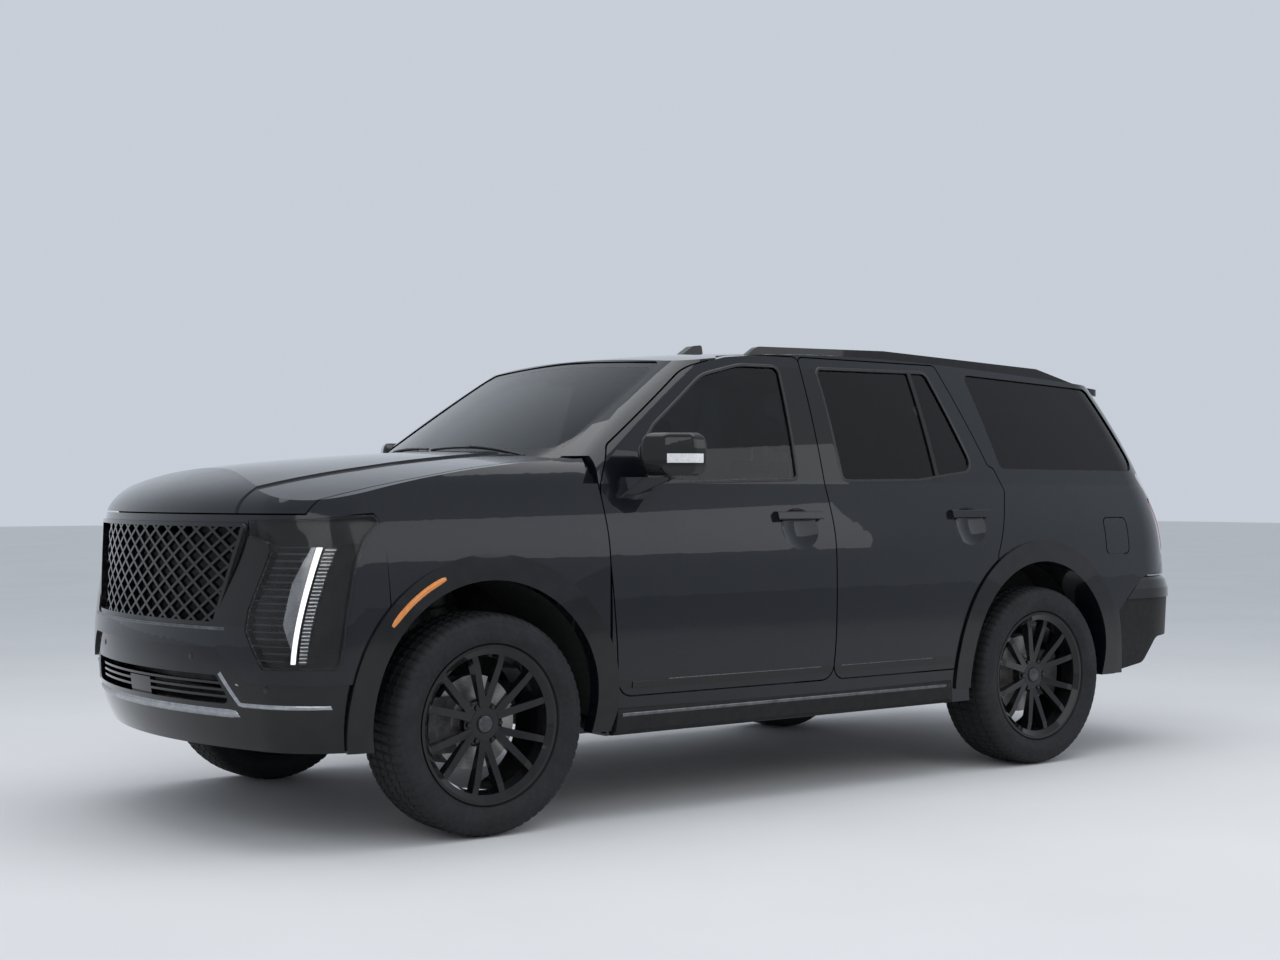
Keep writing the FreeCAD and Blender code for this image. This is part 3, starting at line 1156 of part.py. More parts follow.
def build():
    os.makedirs("parts", exist_ok=True)
    write("body_sides", *pair(body_sides()))
    write("roof_panel", roof_panel())
    write("windscreen", windscreen())
    write("quarter_glass", *pair(pane(side(grown(QUARTER_WINDOW, GLASS_LAP - SEAT_GAP)))))
    write("cowl", cowl())
    write("hood", hood())
    write("front_fenders", *pair(front_fender()))
    write("front_bumper", front_bumper())
    write("front_bumper_lower", front_bumper_lower())
    write("grille", grille())
    write("headlamps", *pair(headlamp()))
    write("headlamp_lenses", *pair(headlamp_lens()))
    write("tail_lamps", *pair(tail_lamp()))
    write("rear_bumper", rear_bumper())
    write("arch_mouldings", *(pair(arch_moulding(FRONT_AXLE_X)) + pair(arch_moulding(REAR_AXLE_X))))
    write("arch_liners", *arch_liners())
    write("running_boards", *running_boards())
    write("roof_rails", *pair(roof_rail()))
    write("roof_antenna", roof_antenna())
    write("liftgate", liftgate())
    write("liftgate_glass", liftgate_glass())
    write("fuel_door", fuel_flap())
    doors = {"front_door": front_door(), "rear_door": rear_door()}
    panes = {"front_door_glass": door_pane(FRONT_WINDOW), "rear_door_glass": door_pane(REAR_WINDOW)}
    heads = {"mirror_head": mirror_head()}
    for parts in (doors, panes, heads):
        for name, shape in parts.items():
            write(name + "_right", shape)
            write(name + "_left", at_left(shape))
    write("chassis_frame", chassis_frame())
    write("floor_pan", floor_pan())
    write("engine_block", engine_block())
    write("transmission", transmission())
    write("exhaust", exhaust())
    write("fuel_tank", fuel_tank())
    write("spare_wheel", spare_wheel())
    write("front_suspension", front_suspension())
    write("rear_suspension", rear_suspension())
    write("dashboard", dashboard())
    write("steering_wheel", steering_wheel())
    for name, rows in SEAT_ROWS.items():
        write(name, *[seat(*row, SEAT_FLOOR[name], SEAT_HEIGHT[name]) for row in rows])
    front_knuckle = knuckle(FRONT_AXLE_X, True)
    write("knuckle_right", front_knuckle)
    write("knuckle_left", at_left(front_knuckle))
    for end, axle_x in (("front", FRONT_AXLE_X), ("rear", REAR_AXLE_X)):
        for kind, make in (("tyre", tyre), ("rim", rim), ("brake_disc", brake_disc)):
            shape = make(axle_x)
            write(kind + "_" + end + "_right", shape)
            write(kind + "_" + end + "_left", at_left(shape))


build()
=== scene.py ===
import bpy
import bmesh
import math
from mathutils import Matrix, Vector
from mathutils.bvhtree import BVHTree

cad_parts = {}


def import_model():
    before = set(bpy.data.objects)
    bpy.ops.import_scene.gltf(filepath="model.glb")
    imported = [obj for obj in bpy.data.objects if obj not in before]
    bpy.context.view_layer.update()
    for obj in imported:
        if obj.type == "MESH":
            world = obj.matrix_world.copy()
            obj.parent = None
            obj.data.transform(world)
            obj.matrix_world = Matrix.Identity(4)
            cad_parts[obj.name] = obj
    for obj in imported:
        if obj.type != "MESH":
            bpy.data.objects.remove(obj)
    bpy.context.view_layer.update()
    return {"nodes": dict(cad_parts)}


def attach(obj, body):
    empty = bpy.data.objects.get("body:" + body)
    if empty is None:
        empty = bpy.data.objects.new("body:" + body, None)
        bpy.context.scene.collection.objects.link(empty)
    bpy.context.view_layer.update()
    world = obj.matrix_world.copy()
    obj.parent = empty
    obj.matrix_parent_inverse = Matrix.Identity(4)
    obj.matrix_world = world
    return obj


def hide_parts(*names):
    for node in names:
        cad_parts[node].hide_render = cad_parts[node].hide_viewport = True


# The looks of a large black sport utility vehicle, in metres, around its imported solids.
# X runs rearward, Y to the vehicle's right and Z up.

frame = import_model()
NODES = frame["nodes"]
SIDES = {"left": -1, "right": 1}
AXLE_X = {"front": -1.706, "rear": 1.365}
AXLE_Z = 0.417
WHEEL_Y = 0.8685

# Camera, from the photograph
CAMERA_AT = (-5.491, -6.831, 1.287)
CAMERA_YAW = 52.53
CAMERA_PITCH = 0.26
CAMERA_LENS = 52.57
CAMERA_SHIFT = 0.0017


# Materials

class Shade:
    """A small helper that adds and links the nodes of one material."""

    def __init__(self, name):
        self.material = bpy.data.materials.new(name)
        self.material.use_nodes = True
        self.tree = self.material.node_tree
        self.bsdf = self.tree.nodes["Principled BSDF"]

    def add(self, kind, **values):
        """A new node, with its settings or the values of its inputs given by name."""
        node = self.tree.nodes.new("ShaderNode" + kind)
        for key, value in values.items():
            if hasattr(node, key):
                setattr(node, key, value)
            else:
                node.inputs[key.replace("_", " ")].default_value = value
        return node

    def link(self, out, into):
        self.tree.links.new(out, into)

    def set(self, **values):
        for key, value in values.items():
            self.bsdf.inputs[key.replace("_", " ")].default_value = value

    def place(self):
        return self.add("TexCoord").outputs["Object"]

    def texture(self, kind, output, **values):
        """One output of a texture laid in the object's own space."""
        node = self.add(kind, **values)
        self.link(self.place(), node.inputs["Vector"])
        return node.outputs[output]

    def noise(self, scale, detail=3.0, rough=0.5):
        return self.texture("TexNoise", "Fac", Scale=scale, Detail=detail, Roughness=rough)

    def cells(self, scale, output="Distance"):
        return self.texture("TexVoronoi", output, Scale=scale)

    def ramp(self, factor, stops):
        """Colours along a factor. Each stop has its place and a colour or a grey level."""
        node = self.add("ValToRGB")
        ramp = node.color_ramp
        while len(ramp.elements) < len(stops):
            ramp.elements.new(0.5)
        for element, (at, colour) in zip(ramp.elements, stops):
            element.position = at
            element.color = (*(colour if isinstance(colour, tuple) else (colour,) * 3), 1)
        self.link(factor, node.inputs["Fac"])
        return node.outputs["Color"]

    def span(self, factor, low, high, out_low, out_high):
        node = self.add("MapRange", From_Min=low, From_Max=high, To_Min=out_low,
                        To_Max=out_high)
        self.link(factor, node.inputs["Value"])
        return node.outputs["Result"]

    def math(self, operation, a, b=0.0):
        node = self.add("Math", operation=operation)
        for socket, value in zip(node.inputs, (a, b)):
            if isinstance(value, (int, float)):
                socket.default_value = value
            else:
                self.link(value, socket)
        return node.outputs["Value"]

    def split(self, vector):
        node = self.add("SeparateXYZ")
        self.link(vector, node.inputs["Vector"])
        return list(node.outputs)

    def axes(self):
        """X, the distance from the middle plane, and Z."""
        x, y, z = self.split(self.place())
        return x, self.math("ABSOLUTE", y), z

    def line(self, u, v, start, end):
        """How far v lies past the line from start to end, given as (u, v)."""
        slope = (end[1] - start[1]) / (end[0] - start[0])
        along = self.math("MULTIPLY", self.math("SUBTRACT", u, start[0]), slope)
        return self.math("SUBTRACT", self.math("SUBTRACT", v, along), start[1])

    def within(self, value, low, high):
        above = self.math("GREATER_THAN", value, low)
        return self.math("MULTIPLY", above, self.math("LESS_THAN", value, high))

    def all_of(self, *masks):
        result = masks[0]
        for mask in masks[1:]:
            result = self.math("MULTIPLY", result, mask)
        return result

    def layered(self, base, layers):
        """A base colour or value with others laid over it where their masks are one."""
        colour = base
        for mask, over in layers:
            mix = self.add("Mix", data_type="RGBA")
            for number, out in ((0, mask), (6, colour), (7, over)):
                self.link(out, mix.inputs[number])
            colour = mix.outputs[2]
        return colour

    def grey(self, scale, low, high):
        """A mottled grey between two levels."""
        return self.ramp(self.noise(scale, 5.0), [(0.3, low), (0.75, high)])

    def colour(self, out):
        self.link(out, self.bsdf.inputs["Base Color"])

    def roughness(self, out):
        self.link(out, self.bsdf.inputs["Roughness"])

    def clouds(self, scale, detail, dark, light, high=0.8):
        """Base colour that drifts between two colours."""
        self.colour(self.ramp(self.noise(scale, detail), [(0.3, dark), (high, light)]))

    def sheen(self, scale, detail, least, most, low=0.3, high=0.7):
        """Roughness that drifts between two values."""
        self.roughness(self.span(self.noise(scale, detail), low, high, least, most))

    def bump(self, height, strength, distance):
        node = self.add("Bump", Strength=strength, Distance=distance)
        self.link(height, node.inputs["Height"])
        self.link(node.outputs["Normal"], self.bsdf.inputs["Normal"])


def mottled(name, dark, light, rough, scale, bump=0.0, distance=0.0002, **values):
    """A material whose colour and roughness vary with noise, over a fine bump."""
    shade = Shade(name)
    shade.colour(shade.ramp(shade.noise(scale, 5.0, 0.6), [(0.3, dark), (0.72, light)]))
    shade.sheen(scale * 0.37, 3.0, *rough)
    if bump:
        shade.bump(shade.noise(scale * 9, 2.0), bump, distance)
    shade.set(**values)
    return shade.material


def paint(name="black_paint", gloss_zone=None):
    """Black coated paint with a fine blue flake and a faint ripple, glossy black in a zone."""
    shade = Shade(name)
    grain = shade.add("SeparateColor")
    shade.link(shade.cells(2600.0, "Color"), grain.inputs["Color"])
    colour = shade.ramp(grain.outputs["Red"], [
        (0.0, (0.0022, 0.0027, 0.0042)), (0.86, (0.004, 0.005, 0.0078)), (1.0, (0.02, 0.026, 0.04))])
    if gloss_zone:
        colour = shade.layered(colour, [(gloss_zone(shade), shade.grey(20.0, 0.0015, 0.003))])
    shade.colour(colour)
    shade.sheen(3.0, 4.0, 0.22, 0.3)
    shade.bump(shade.noise(260.0, 1.0), 0.03, 0.0003)
    shade.set(Specular_IOR_Level=0.08, Coat_Weight=1.0, Coat_Roughness=0.012, Coat_IOR=1.4)
    return shade.material


# Zones of the nose and doors, in metres. Lines are (z, y) or (z, x) from low to high
PANEL_EDGE = ((0.785, 0.7), (1.098, 0.772))
PANEL_Z = (0.8, 1.122)
PILLAR_FRONT = ((1.341, -0.121), (1.821, -0.087))
PILLAR_REAR = ((1.336, 0.159), (1.821, 0.153))
GLAZED_Z = (1.326, 1.824)
DIVIDER_X = (0.705, 0.785)
STRIP_Z = (0.508, 0.544)


def nose_panel(shade):
    """The glossy panel between the grille and the lamp."""
    _, y, z = shade.axes()
    inside = shade.math("LESS_THAN", shade.line(z, y, *PANEL_EDGE), 0.0)
    return shade.all_of(inside, shade.within(z, *PANEL_Z))


def door_trim(shade):
    """The glossy pillar covers between the windows, and the strip along the sill."""
    x, _, z = shade.axes()
    after = shade.math("GREATER_THAN", shade.line(z, x, *PILLAR_FRONT), 0.0)
    before = shade.math("LESS_THAN", shade.line(z, x, *PILLAR_REAR), 0.0)
    cover = shade.math("MAXIMUM", shade.all_of(after, before), shade.within(x, *DIVIDER_X))
    cover = shade.all_of(cover, shade.within(z, *GLAZED_Z))
    return shade.math("MAXIMUM", cover, shade.within(z, *STRIP_Z))


def gloss_black():
    shade = Shade("gloss_black_plastic")
    shade.colour(shade.ramp(shade.noise(18.0, 6.0), [
        (0.35, (0.0045, 0.0045, 0.005)), (0.75, (0.009, 0.009, 0.01))]))
    shade.roughness(shade.span(shade.noise(46.0, 6.0, 0.7), 0.35, 0.75, 0.06, 0.16))
    shade.bump(shade.noise(300.0, 1.0), 0.02, 0.0003)
    shade.set(Specular_IOR_Level=0.1, Coat_Weight=0.8, Coat_Roughness=0.02, Coat_IOR=1.4)
    return shade.material


def grained_black(name):
    """Moulded plastic with a leathery grain."""
    shade = Shade(name)
    grain = shade.cells(900.0)
    shade.clouds(30.0, 6.0, (0.007, 0.007, 0.0075), (0.014, 0.014, 0.0145))
    shade.roughness(shade.span(grain, 0.0, 0.7, 0.5, 0.68))
    shade.bump(grain, 0.35, 0.0003)
    shade.set(Specular_IOR_Level=0.25)
    return shade.material


def rubber():
    shade = Shade("tyre_rubber")
    shade.colour(shade.ramp(shade.noise(9.0, 8.0, 0.65), [
        (0.3, (0.011, 0.012, 0.013)), (0.62, (0.019, 0.02, 0.022)), (0.85, 0.032)]))
    shade.sheen(60.0, 4.0, 0.62, 0.82)
    shade.bump(shade.noise(700.0, 3.0), 0.25, 0.0004)
    shade.set(Specular_IOR_Level=0.25)
    return shade.material


def clear(name, index, scale, detail, dark, light, dust, film):
    """A see-through material with a faint film of dust, which darkens what lies behind it."""
    shade = Shade(name)
    shade.clouds(scale, detail, dark, light)
    shade.sheen(dust, 5.0, 0.0, film, 0.4, 0.8)
    shade.set(Transmission_Weight=1.0, IOR=index)
    return shade.material


def tinted_glass(name, tint, density):
    return clear(name, 1.36, 4.0, 5.0, tint, tuple(v * density for v in tint), 35.0, 0.035)


def red_lens():
    """A smoked red lens, pale at its top, with fine upright flutes."""
    shade = Shade("red_lens")
    z = shade.axes()[2]
    smear = shade.math("ADD", z, shade.math("MULTIPLY", shade.noise(20.0, 2.0), 0.01))
    shade.colour(shade.ramp(shade.span(smear, 0.96, 1.38, 0.0, 1.0), [
        (0.0, (0.035, 0.002, 0.003)), (0.7, (0.1, 0.004, 0.005)),
        (0.76, (0.3, 0.25, 0.25)), (1.0, (0.42, 0.38, 0.38))]))
    shade.sheen(50.0, 4.0, 0.05, 0.12)
    flutes = shade.texture("TexWave", "Fac", bands_direction="Z", Scale=60.0)
    shade.bump(flutes, 0.15, 0.0008)
    shade.set(Coat_Weight=1.0, Coat_Roughness=0.02)
    return shade.material


# The headlamp's strips as lines of (z, y) with half widths, the louvres' outer edge, the height
# that all of them fill, and the forward lean that a lit face needs
WHITE_STRIP = ((0.672, 0.879), (1.088, 0.903), 0.0062)
RIBBED_STRIP = ((0.676, 0.901), (1.098, 0.9235), 0.0088)
LOUVRE_EDGE = [(0.0, 0.868), (0.31, 0.826), (0.67, 0.834), (1.0, 0.868)]
LOUVRE_SPAN = (0.69, 1.084)
LAMP_Z = (0.676, 1.086)
FACING = -0.05
RIB_WAVE = 480.0
LOUVRE_WAVE = 250.0


def lamp_inside():
    """Dark louvres, a bright blade beside them, a white light strip and a ribbed bright one."""
    shade = Shade("headlamp_inside")
    _, y, z = shade.axes()
    normal_x = shade.split(shade.add("TexCoord").outputs["Normal"])[0]
    forward = shade.math("LESS_THAN", normal_x, FACING)
    tall = shade.all_of(shade.within(z, *LAMP_Z), forward)
    strip = shade.line(z, y, *WHITE_STRIP[:2])
    ribbed = shade.line(z, y, *RIBBED_STRIP[:2])
    white = shade.all_of(shade.within(strip, -WHITE_STRIP[2], WHITE_STRIP[2]), tall)
    ribs = shade.all_of(shade.within(ribbed, -RIBBED_STRIP[2], RIBBED_STRIP[2]), tall)
    beside = shade.math("LESS_THAN", strip, -WHITE_STRIP[2])
    edge = shade.ramp(shade.span(z, *LOUVRE_SPAN, 0.0, 1.0), LOUVRE_EDGE)
    outside = shade.math("GREATER_THAN", shade.math("SUBTRACT", y, edge), 0.0)
    blade = shade.all_of(outside, beside, tall)
    wave = shade.math("SINE", shade.math("MULTIPLY", z, RIB_WAVE))
    # The ribs' troughs are painted darker than the ribs: painted shade in the grooves, over the
    # ribs' bump
    trough_shade = shade.all_of(ribs, shade.math("LESS_THAN", wave, -0.1))
    louvre = shade.math("SINE", shade.math("MULTIPLY", z, LOUVRE_WAVE))
    louvre = shade.all_of(shade.math("GREATER_THAN", louvre, 0.72), beside, tall)
    shade.colour(shade.layered(shade.grey(30.0, 0.006, 0.014), [
        (louvre, shade.grey(30.0, 0.035, 0.06)), (blade, shade.grey(8.0, 0.16, 0.34)),
        (ribs, shade.grey(60.0, 0.5, 0.72)), (trough_shade, shade.grey(60.0, 0.05, 0.12)),
        (white, shade.grey(60.0, 0.85, 0.92))]))
    shade.link(shade.math("MAXIMUM", blade, ribs), shade.bsdf.inputs["Metallic"])
    shade.sheen(40.0, 4.0, 0.16, 0.26)
    shade.bump(shade.math("MULTIPLY", wave, ribs), 1.0, 0.003)
    glow = shade.layered(shade.grey(50.0, 0.0, 0.0), [(white, shade.grey(50.0, 0.85, 1.0))])
    shade.link(glow, shade.bsdf.inputs["Emission Color"])
    shade.set(Specular_IOR_Level=0.2, Emission_Strength=0.9)
    return shade.material


# The mirror's dark band ends at a height. Its lamp lies in a span of Z, beyond a Y, ahead of an X
SHELL_BAND_Z = 1.388
SHELL_LAMP_Z = (1.396, 1.432)
SHELL_LAMP_Y = 1.118
SHELL_LAMP_X = -0.845
BUMPER_STEP_Z = 0.7525


def mirror_shell():
    """A painted cap over a glossy dark lower band, with a white lamp at its tip."""
    shade = Shade("mirror_shell")
    x, y, z = shade.axes()
    low = shade.math("LESS_THAN", z, SHELL_BAND_Z)
    lamp = shade.all_of(shade.within(z, *SHELL_LAMP_Z), shade.math("GREATER_THAN", y, SHELL_LAMP_Y),
                        shade.math("LESS_THAN", x, SHELL_LAMP_X))
    shade.colour(shade.layered(shade.grey(200.0, 0.0026, 0.006), [
        (low, shade.grey(20.0, 0.003, 0.007)), (lamp, shade.grey(80.0, 0.62, 0.82))]))
    shade.sheen(40.0, 4.0, 0.16, 0.28)
    shade.bump(shade.noise(260.0, 1.0), 0.03, 0.0003)
    shade.set(Specular_IOR_Level=0.08, Coat_Weight=1.0, Coat_Roughness=0.015, Coat_IOR=1.42)
    return shade.material


def rear_bumper_look():
    """Paint above and grained black below the step."""
    shade = Shade("rear_bumper_look")
    low = shade.math("LESS_THAN", shade.axes()[2], BUMPER_STEP_Z)
    shade.colour(shade.layered(shade.grey(200.0, 0.0026, 0.006), [
        (low, shade.grey(40.0, 0.01, 0.018))]))
    shade.roughness(shade.span(low, 0.0, 1.0, 0.24, 0.5))
    shade.link(shade.span(low, 0.0, 1.0, 1.0, 0.15), shade.bsdf.inputs["Coat Weight"])
    shade.bump(shade.math("MULTIPLY", shade.cells(900.0), low), 0.3, 0.0003)
    shade.set(Specular_IOR_Level=0.1, Coat_Roughness=0.015, Coat_IOR=1.38)
    return shade.material


def leather():
    shade = Shade("black_leather")
    grain = shade.cells(420.0)
    shade.clouds(14.0, 6.0, (0.016, 0.015, 0.015), (0.03, 0.028, 0.027))
    shade.roughness(shade.span(grain, 0.0, 0.6, 0.36, 0.52))
    shade.bump(grain, 0.35, 0.0006)
    return shade.material


def brushed(name, dark, light, rough):
    """Metal with fine rings or strokes across X."""
    shade = Shade(name)
    stretch = shade.add("Mapping", Scale=(4.0, 160.0, 160.0))
    shade.link(shade.place(), stretch.inputs["Vector"])
    noise = shade.add("TexNoise", Scale=6.0, Detail=5.0)
    shade.link(stretch.outputs["Vector"], noise.inputs["Vector"])
    streak = noise.outputs["Fac"]
    shade.colour(shade.ramp(streak, [(0.3, dark), (0.75, light)]))
    shade.roughness(shade.span(streak, 0.3, 0.7, *rough))
    shade.bump(streak, 0.1, 0.0003)
    shade.set(Metallic=1.0)
    return shade.material


PAINT = paint()
NOSE_PAINT = paint("nose_paint", nose_panel)
DOOR_PAINT = paint("door_paint", door_trim)
LAMP_INSIDE = lamp_inside()
MIRROR_SHELL = mirror_shell()
REAR_BUMPER_LOOK = rear_bumper_look()
GLOSS = gloss_black()
GRAINED = grained_black("grained_black_plastic")
CABIN_TRIM = grained_black("cabin_trim")
RUBBER = rubber()
PRIVACY = tinted_glass("privacy_glass", (0.03, 0.032, 0.034), 0.8)
CABIN_GLASS = tinted_glass("cabin_glass", (0.16, 0.18, 0.18), 0.9)
LENS = clear("clear_lens", 1.22, 6.0, 4.0, (0.92, 0.93, 0.94), 0.98, 40.0, 0.02)
RED_LENS = red_lens()
LEATHER = leather()
IRON = brushed("brake_iron", (0.2, 0.19, 0.185), (0.42, 0.41, 0.4), (0.28, 0.45))
STEEL = brushed("exhaust_steel", (0.22, 0.21, 0.2), (0.42, 0.4, 0.38), (0.25, 0.42))

# Mottled ones: dark and light, lowest and highest roughness, scale, bump and its depth
RIM_BLACK = mottled("rim_black", (0.004, 0.004, 0.0045), (0.009, 0.009, 0.01), (0.1, 0.2), 22.0,
                    0.03, Specular_IOR_Level=0.1, Coat_Weight=1.0, Coat_Roughness=0.03,
                    Coat_IOR=1.34)
CAST = mottled("cast_metal", 0.05, (0.12, 0.118, 0.115), (0.55, 0.75), 40.0, 0.4, 0.0006,
               Metallic=0.7)
ALLOY = mottled("cast_alloy", 0.16, 0.3, (0.42, 0.6), 35.0, 0.3, 0.0005, Metallic=0.9)
CHASSIS = mottled("chassis_coat", 0.008, (0.02, 0.02, 0.021), (0.35, 0.55), 25.0, 0.15, 0.0005,
                  Specular_IOR_Level=0.3)
FELT = mottled("liner_felt", 0.006, 0.016, (0.85, 0.97), 90.0, 0.6, 0.0012)
TANK = mottled("tank_plastic", 0.01, 0.018, (0.5, 0.65), 30.0, 0.2, 0.0004)
FLOOR_COAT = mottled("floor_coat", (0.012, 0.012, 0.013), (0.024, 0.024, 0.025), (0.6, 0.8), 30.0,
                     0.4, 0.0008)
CAP_GREY = mottled("cap_grey", (0.05, 0.05, 0.055), (0.1, 0.1, 0.105), (0.2, 0.35), 40.0, 0.05,
                   Metallic=0.8)
SATIN_METAL = mottled("satin_metal", (0.3, 0.31, 0.33), (0.46, 0.47, 0.49), (0.22, 0.34), 30.0,
                      0.04, Metallic=1.0)
SMOKED_METAL = mottled("smoked_metal", (0.09, 0.092, 0.1), (0.17, 0.172, 0.18), (0.2, 0.32), 30.0,
                       0.04, Metallic=1.0)
MIRROR_GLASS = mottled("mirror_glass", (0.72, 0.74, 0.76), (0.82, 0.84, 0.86), (0.0, 0.03), 5.0,
                       Metallic=1.0)
AMBER = mottled("amber_lens", (0.62, 0.17, 0.012), (0.78, 0.26, 0.02), (0.08, 0.16), 60.0, 0.1,
                Coat_Weight=1.0)
RED_STRIP = mottled("red_strip", (0.22, 0.006, 0.006), (0.34, 0.012, 0.01), (0.08, 0.16), 60.0, 0.1,
                    Coat_Weight=1.0)
SENSOR = mottled("sensor_face", 0.006, 0.012, (0.3, 0.4), 60.0, 0.1)
FRIT = mottled("glass_border", 0.003, 0.006, (0.08, 0.15), 20.0, 0.02)
SCREEN = mottled("dark_screen", (0.002, 0.002, 0.003), (0.006, 0.006, 0.008), (0.04, 0.1), 12.0,
                 Coat_Weight=0.6)
HEADLINER = mottled("headliner_cloth", (0.1, 0.098, 0.095), (0.16, 0.157, 0.15), (0.85, 0.97),
                    260.0, 0.5, 0.0006)
THREAD = mottled("seat_thread", 0.05, (0.09, 0.088, 0.085), (0.5, 0.7), 300.0, 0.3)
SEAL = mottled("window_seal", (0.004, 0.004, 0.0045), (0.01, 0.01, 0.011), (0.22, 0.36), 50.0,
               0.1, 0.0003)

# Which look a node has, by how its name starts. The first that fits counts, and the rest is painted
NODE_LOOKS = [
    (CABIN_GLASS, "front_door_glass windscreen"),
    (PRIVACY, "rear_door_glass quarter_glass liftgate_glass"),
    (GLOSS, "front_bumper_lower grille arch_mouldings roof_rails roof_antenna"),
    (NOSE_PAINT, "front_bumper"), (DOOR_PAINT, "front_door_ rear_door_"),
    (REAR_BUMPER_LOOK, "rear_bumper"), (MIRROR_SHELL, "mirror_head"), (LENS, "headlamp_lenses"),
    (LAMP_INSIDE, "headlamps"), (RED_LENS, "tail_lamps"), (FELT, "arch_liners"),
    (GRAINED, "running_boards cowl"), (RUBBER, "tyre_ spare_wheel"), (RIM_BLACK, "rim_"),
    (IRON, "brake_disc_"), (CAST, "knuckle_ front_suspension rear_suspension"),
    (CHASSIS, "chassis_frame"), (ALLOY, "engine_block transmission"), (STEEL, "exhaust"),
    (TANK, "fuel_tank"), (FLOOR_COAT, "floor_pan"), (CABIN_TRIM, "dashboard"),
    (LEATHER, "steering_wheel front_seats middle_seats rear_bench"),
]

for name, node in NODES.items():
    fits = (look for look, starts in NODE_LOOKS if name.startswith(tuple(starts.split())))
    material = next(fits, PAINT)
    for slot in node.material_slots:
        slot.material = material


def linked(name, data):
    thing = bpy.data.objects.new(name, data)
    bpy.context.scene.collection.objects.link(thing)
    return thing


def piece(name, mesh, body, material):
    """A new object from a mesh in the frame, riding on a body."""
    thing = linked(name, mesh)
    mesh.materials.append(material)
    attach(thing, body)
    return thing


def mesh_from(name, verts, faces, smooth_angle):
    mesh = bpy.data.meshes.new(name)
    mesh.from_pydata(verts, [], faces)
    mesh.update()
    mesh.shade_smooth()
    mesh.set_sharp_from_angle(angle=math.radians(smooth_angle))
    return mesh


# Tyres, with grooves, blocks and ribbed walls. Columns: distance from the middle plane, radius
TYRE_WALL = [(0.104, 0.2802), (0.104, 0.3006), (0.11, 0.303), (0.1165, 0.3035), (0.1215, 0.306),
             (0.1225, 0.31), (0.1265, 0.3165), (0.1305, 0.324), (0.1345, 0.334),
             (0.1368, 0.345), (0.1374, 0.356), (0.1366, 0.368), (0.1345, 0.38),
             (0.1338, 0.3815), (0.1345, 0.383), (0.1315, 0.3925)]
SHOULDER = [(0.1265, 0.401), (0.118, 0.4075), (0.104, 0.4118)]
GROOVES = (0.078, 0.026)
GROOVE_HALF = 0.0048
GROOVE_DEPTH = 0.0085
TREAD_RADIUS = 0.4168
TREAD_STEPS = 288
CROWN_DROP = 0.0022
# Cuts across the tread: one in so many steps, the steps they lean per metre, and their depth on
# the wall, the tread and the shoulder
CUT_EVERY = 4
CUT_LEAN = 10.5
CUT_DEPTHS = (0.0, 0.006, 0.0045)


def tread_radius(off):
    return TREAD_RADIUS - CROWN_DROP * (off / 0.1) ** 2


def tyre_profile():
    """One side's section from the bead to the middle, with which depth of cut each row has."""
    rows = [(off, radius, 0) for off, radius in TYRE_WALL]
    rows += [(off, radius, 2) for off, radius in SHOULDER]
    for middle in GROOVES:
        for way in (1, -1):
            edge = middle + way * GROOVE_HALF
            lip = (edge + way * 0.0006, tread_radius(edge), 1)
            foot = (edge - way * 0.0012, tread_radius(edge) - GROOVE_DEPTH, 0)
            rows += [lip, foot][::way]
    return rows


def tyre_mesh(end, side):
    half = tyre_profile()
    rows = half + [(-off, radius, cut) for off, radius, cut in reversed(half)]
    verts, faces = [], []
    for step in range(TREAD_STEPS):
        for off, radius, cut in rows:
            angle = 2 * math.pi * (step + (CUT_LEAN * off if cut else 0.0)) / TREAD_STEPS
            r = radius - (0.0 if step % CUT_EVERY else CUT_DEPTHS[cut])
            verts.append((AXLE_X[end] + r * math.sin(angle), SIDES[side] * WHEEL_Y + off,
                          AXLE_Z + r * math.cos(angle)))
    count = len(rows)
    for step in range(TREAD_STEPS):
        here, there = step * count, (step + 1) % TREAD_STEPS * count
        for i in range(count):
            j = (i + 1) % count
            faces.append((here + i, here + j, there + j, there + i))
    return mesh_from("tyre", verts, faces, 28)


def tyres():
    for end in AXLE_X:
        for side in SIDES:
            body = end + "_wheel_" + side
            mesh = tyre_mesh(end, side)
            tyre = piece("treaded_tyre_" + end + "_" + side, mesh, body, RUBBER)
            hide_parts("tyre_" + end + "_" + side)


tyres()


# Pieces laid on the CAD surfaces

TREES = {}
REARWARD = (1, 0, 0)
FORWARD = (-1, 0, 0)
RAY_START = 1.5


def tree_from(mesh):
    return BVHTree.FromPolygons([v.co for v in mesh.vertices], [p.vertices for p in mesh.polygons])


def cast(node, start, along):
    """The point and outward normal where a ray first meets a node."""
    if node not in TREES:
        TREES[node] = tree_from(NODES[node].data)
    along = Vector(along).normalized()
    point, normal, _, _ = TREES[node].ray_cast(Vector(start), along)
    if point is None:
        point, normal, _, _ = TREES[node].find_nearest(Vector(start) + along * 0.5)
    return point, normal if normal.dot(along) < 0 else -normal


def densified(pairs, steps):
    """Pairs of points with more of them in between, on straight runs."""
    dense = []
    for (low0, high0), (low1, high1) in zip(pairs, pairs[1:]):
        for i in range(steps):
            f = i / steps
            dense.append((Vector(low0).lerp(Vector(low1), f), Vector(high0).lerp(Vector(high1), f)))
    return dense + [pairs[-1]]


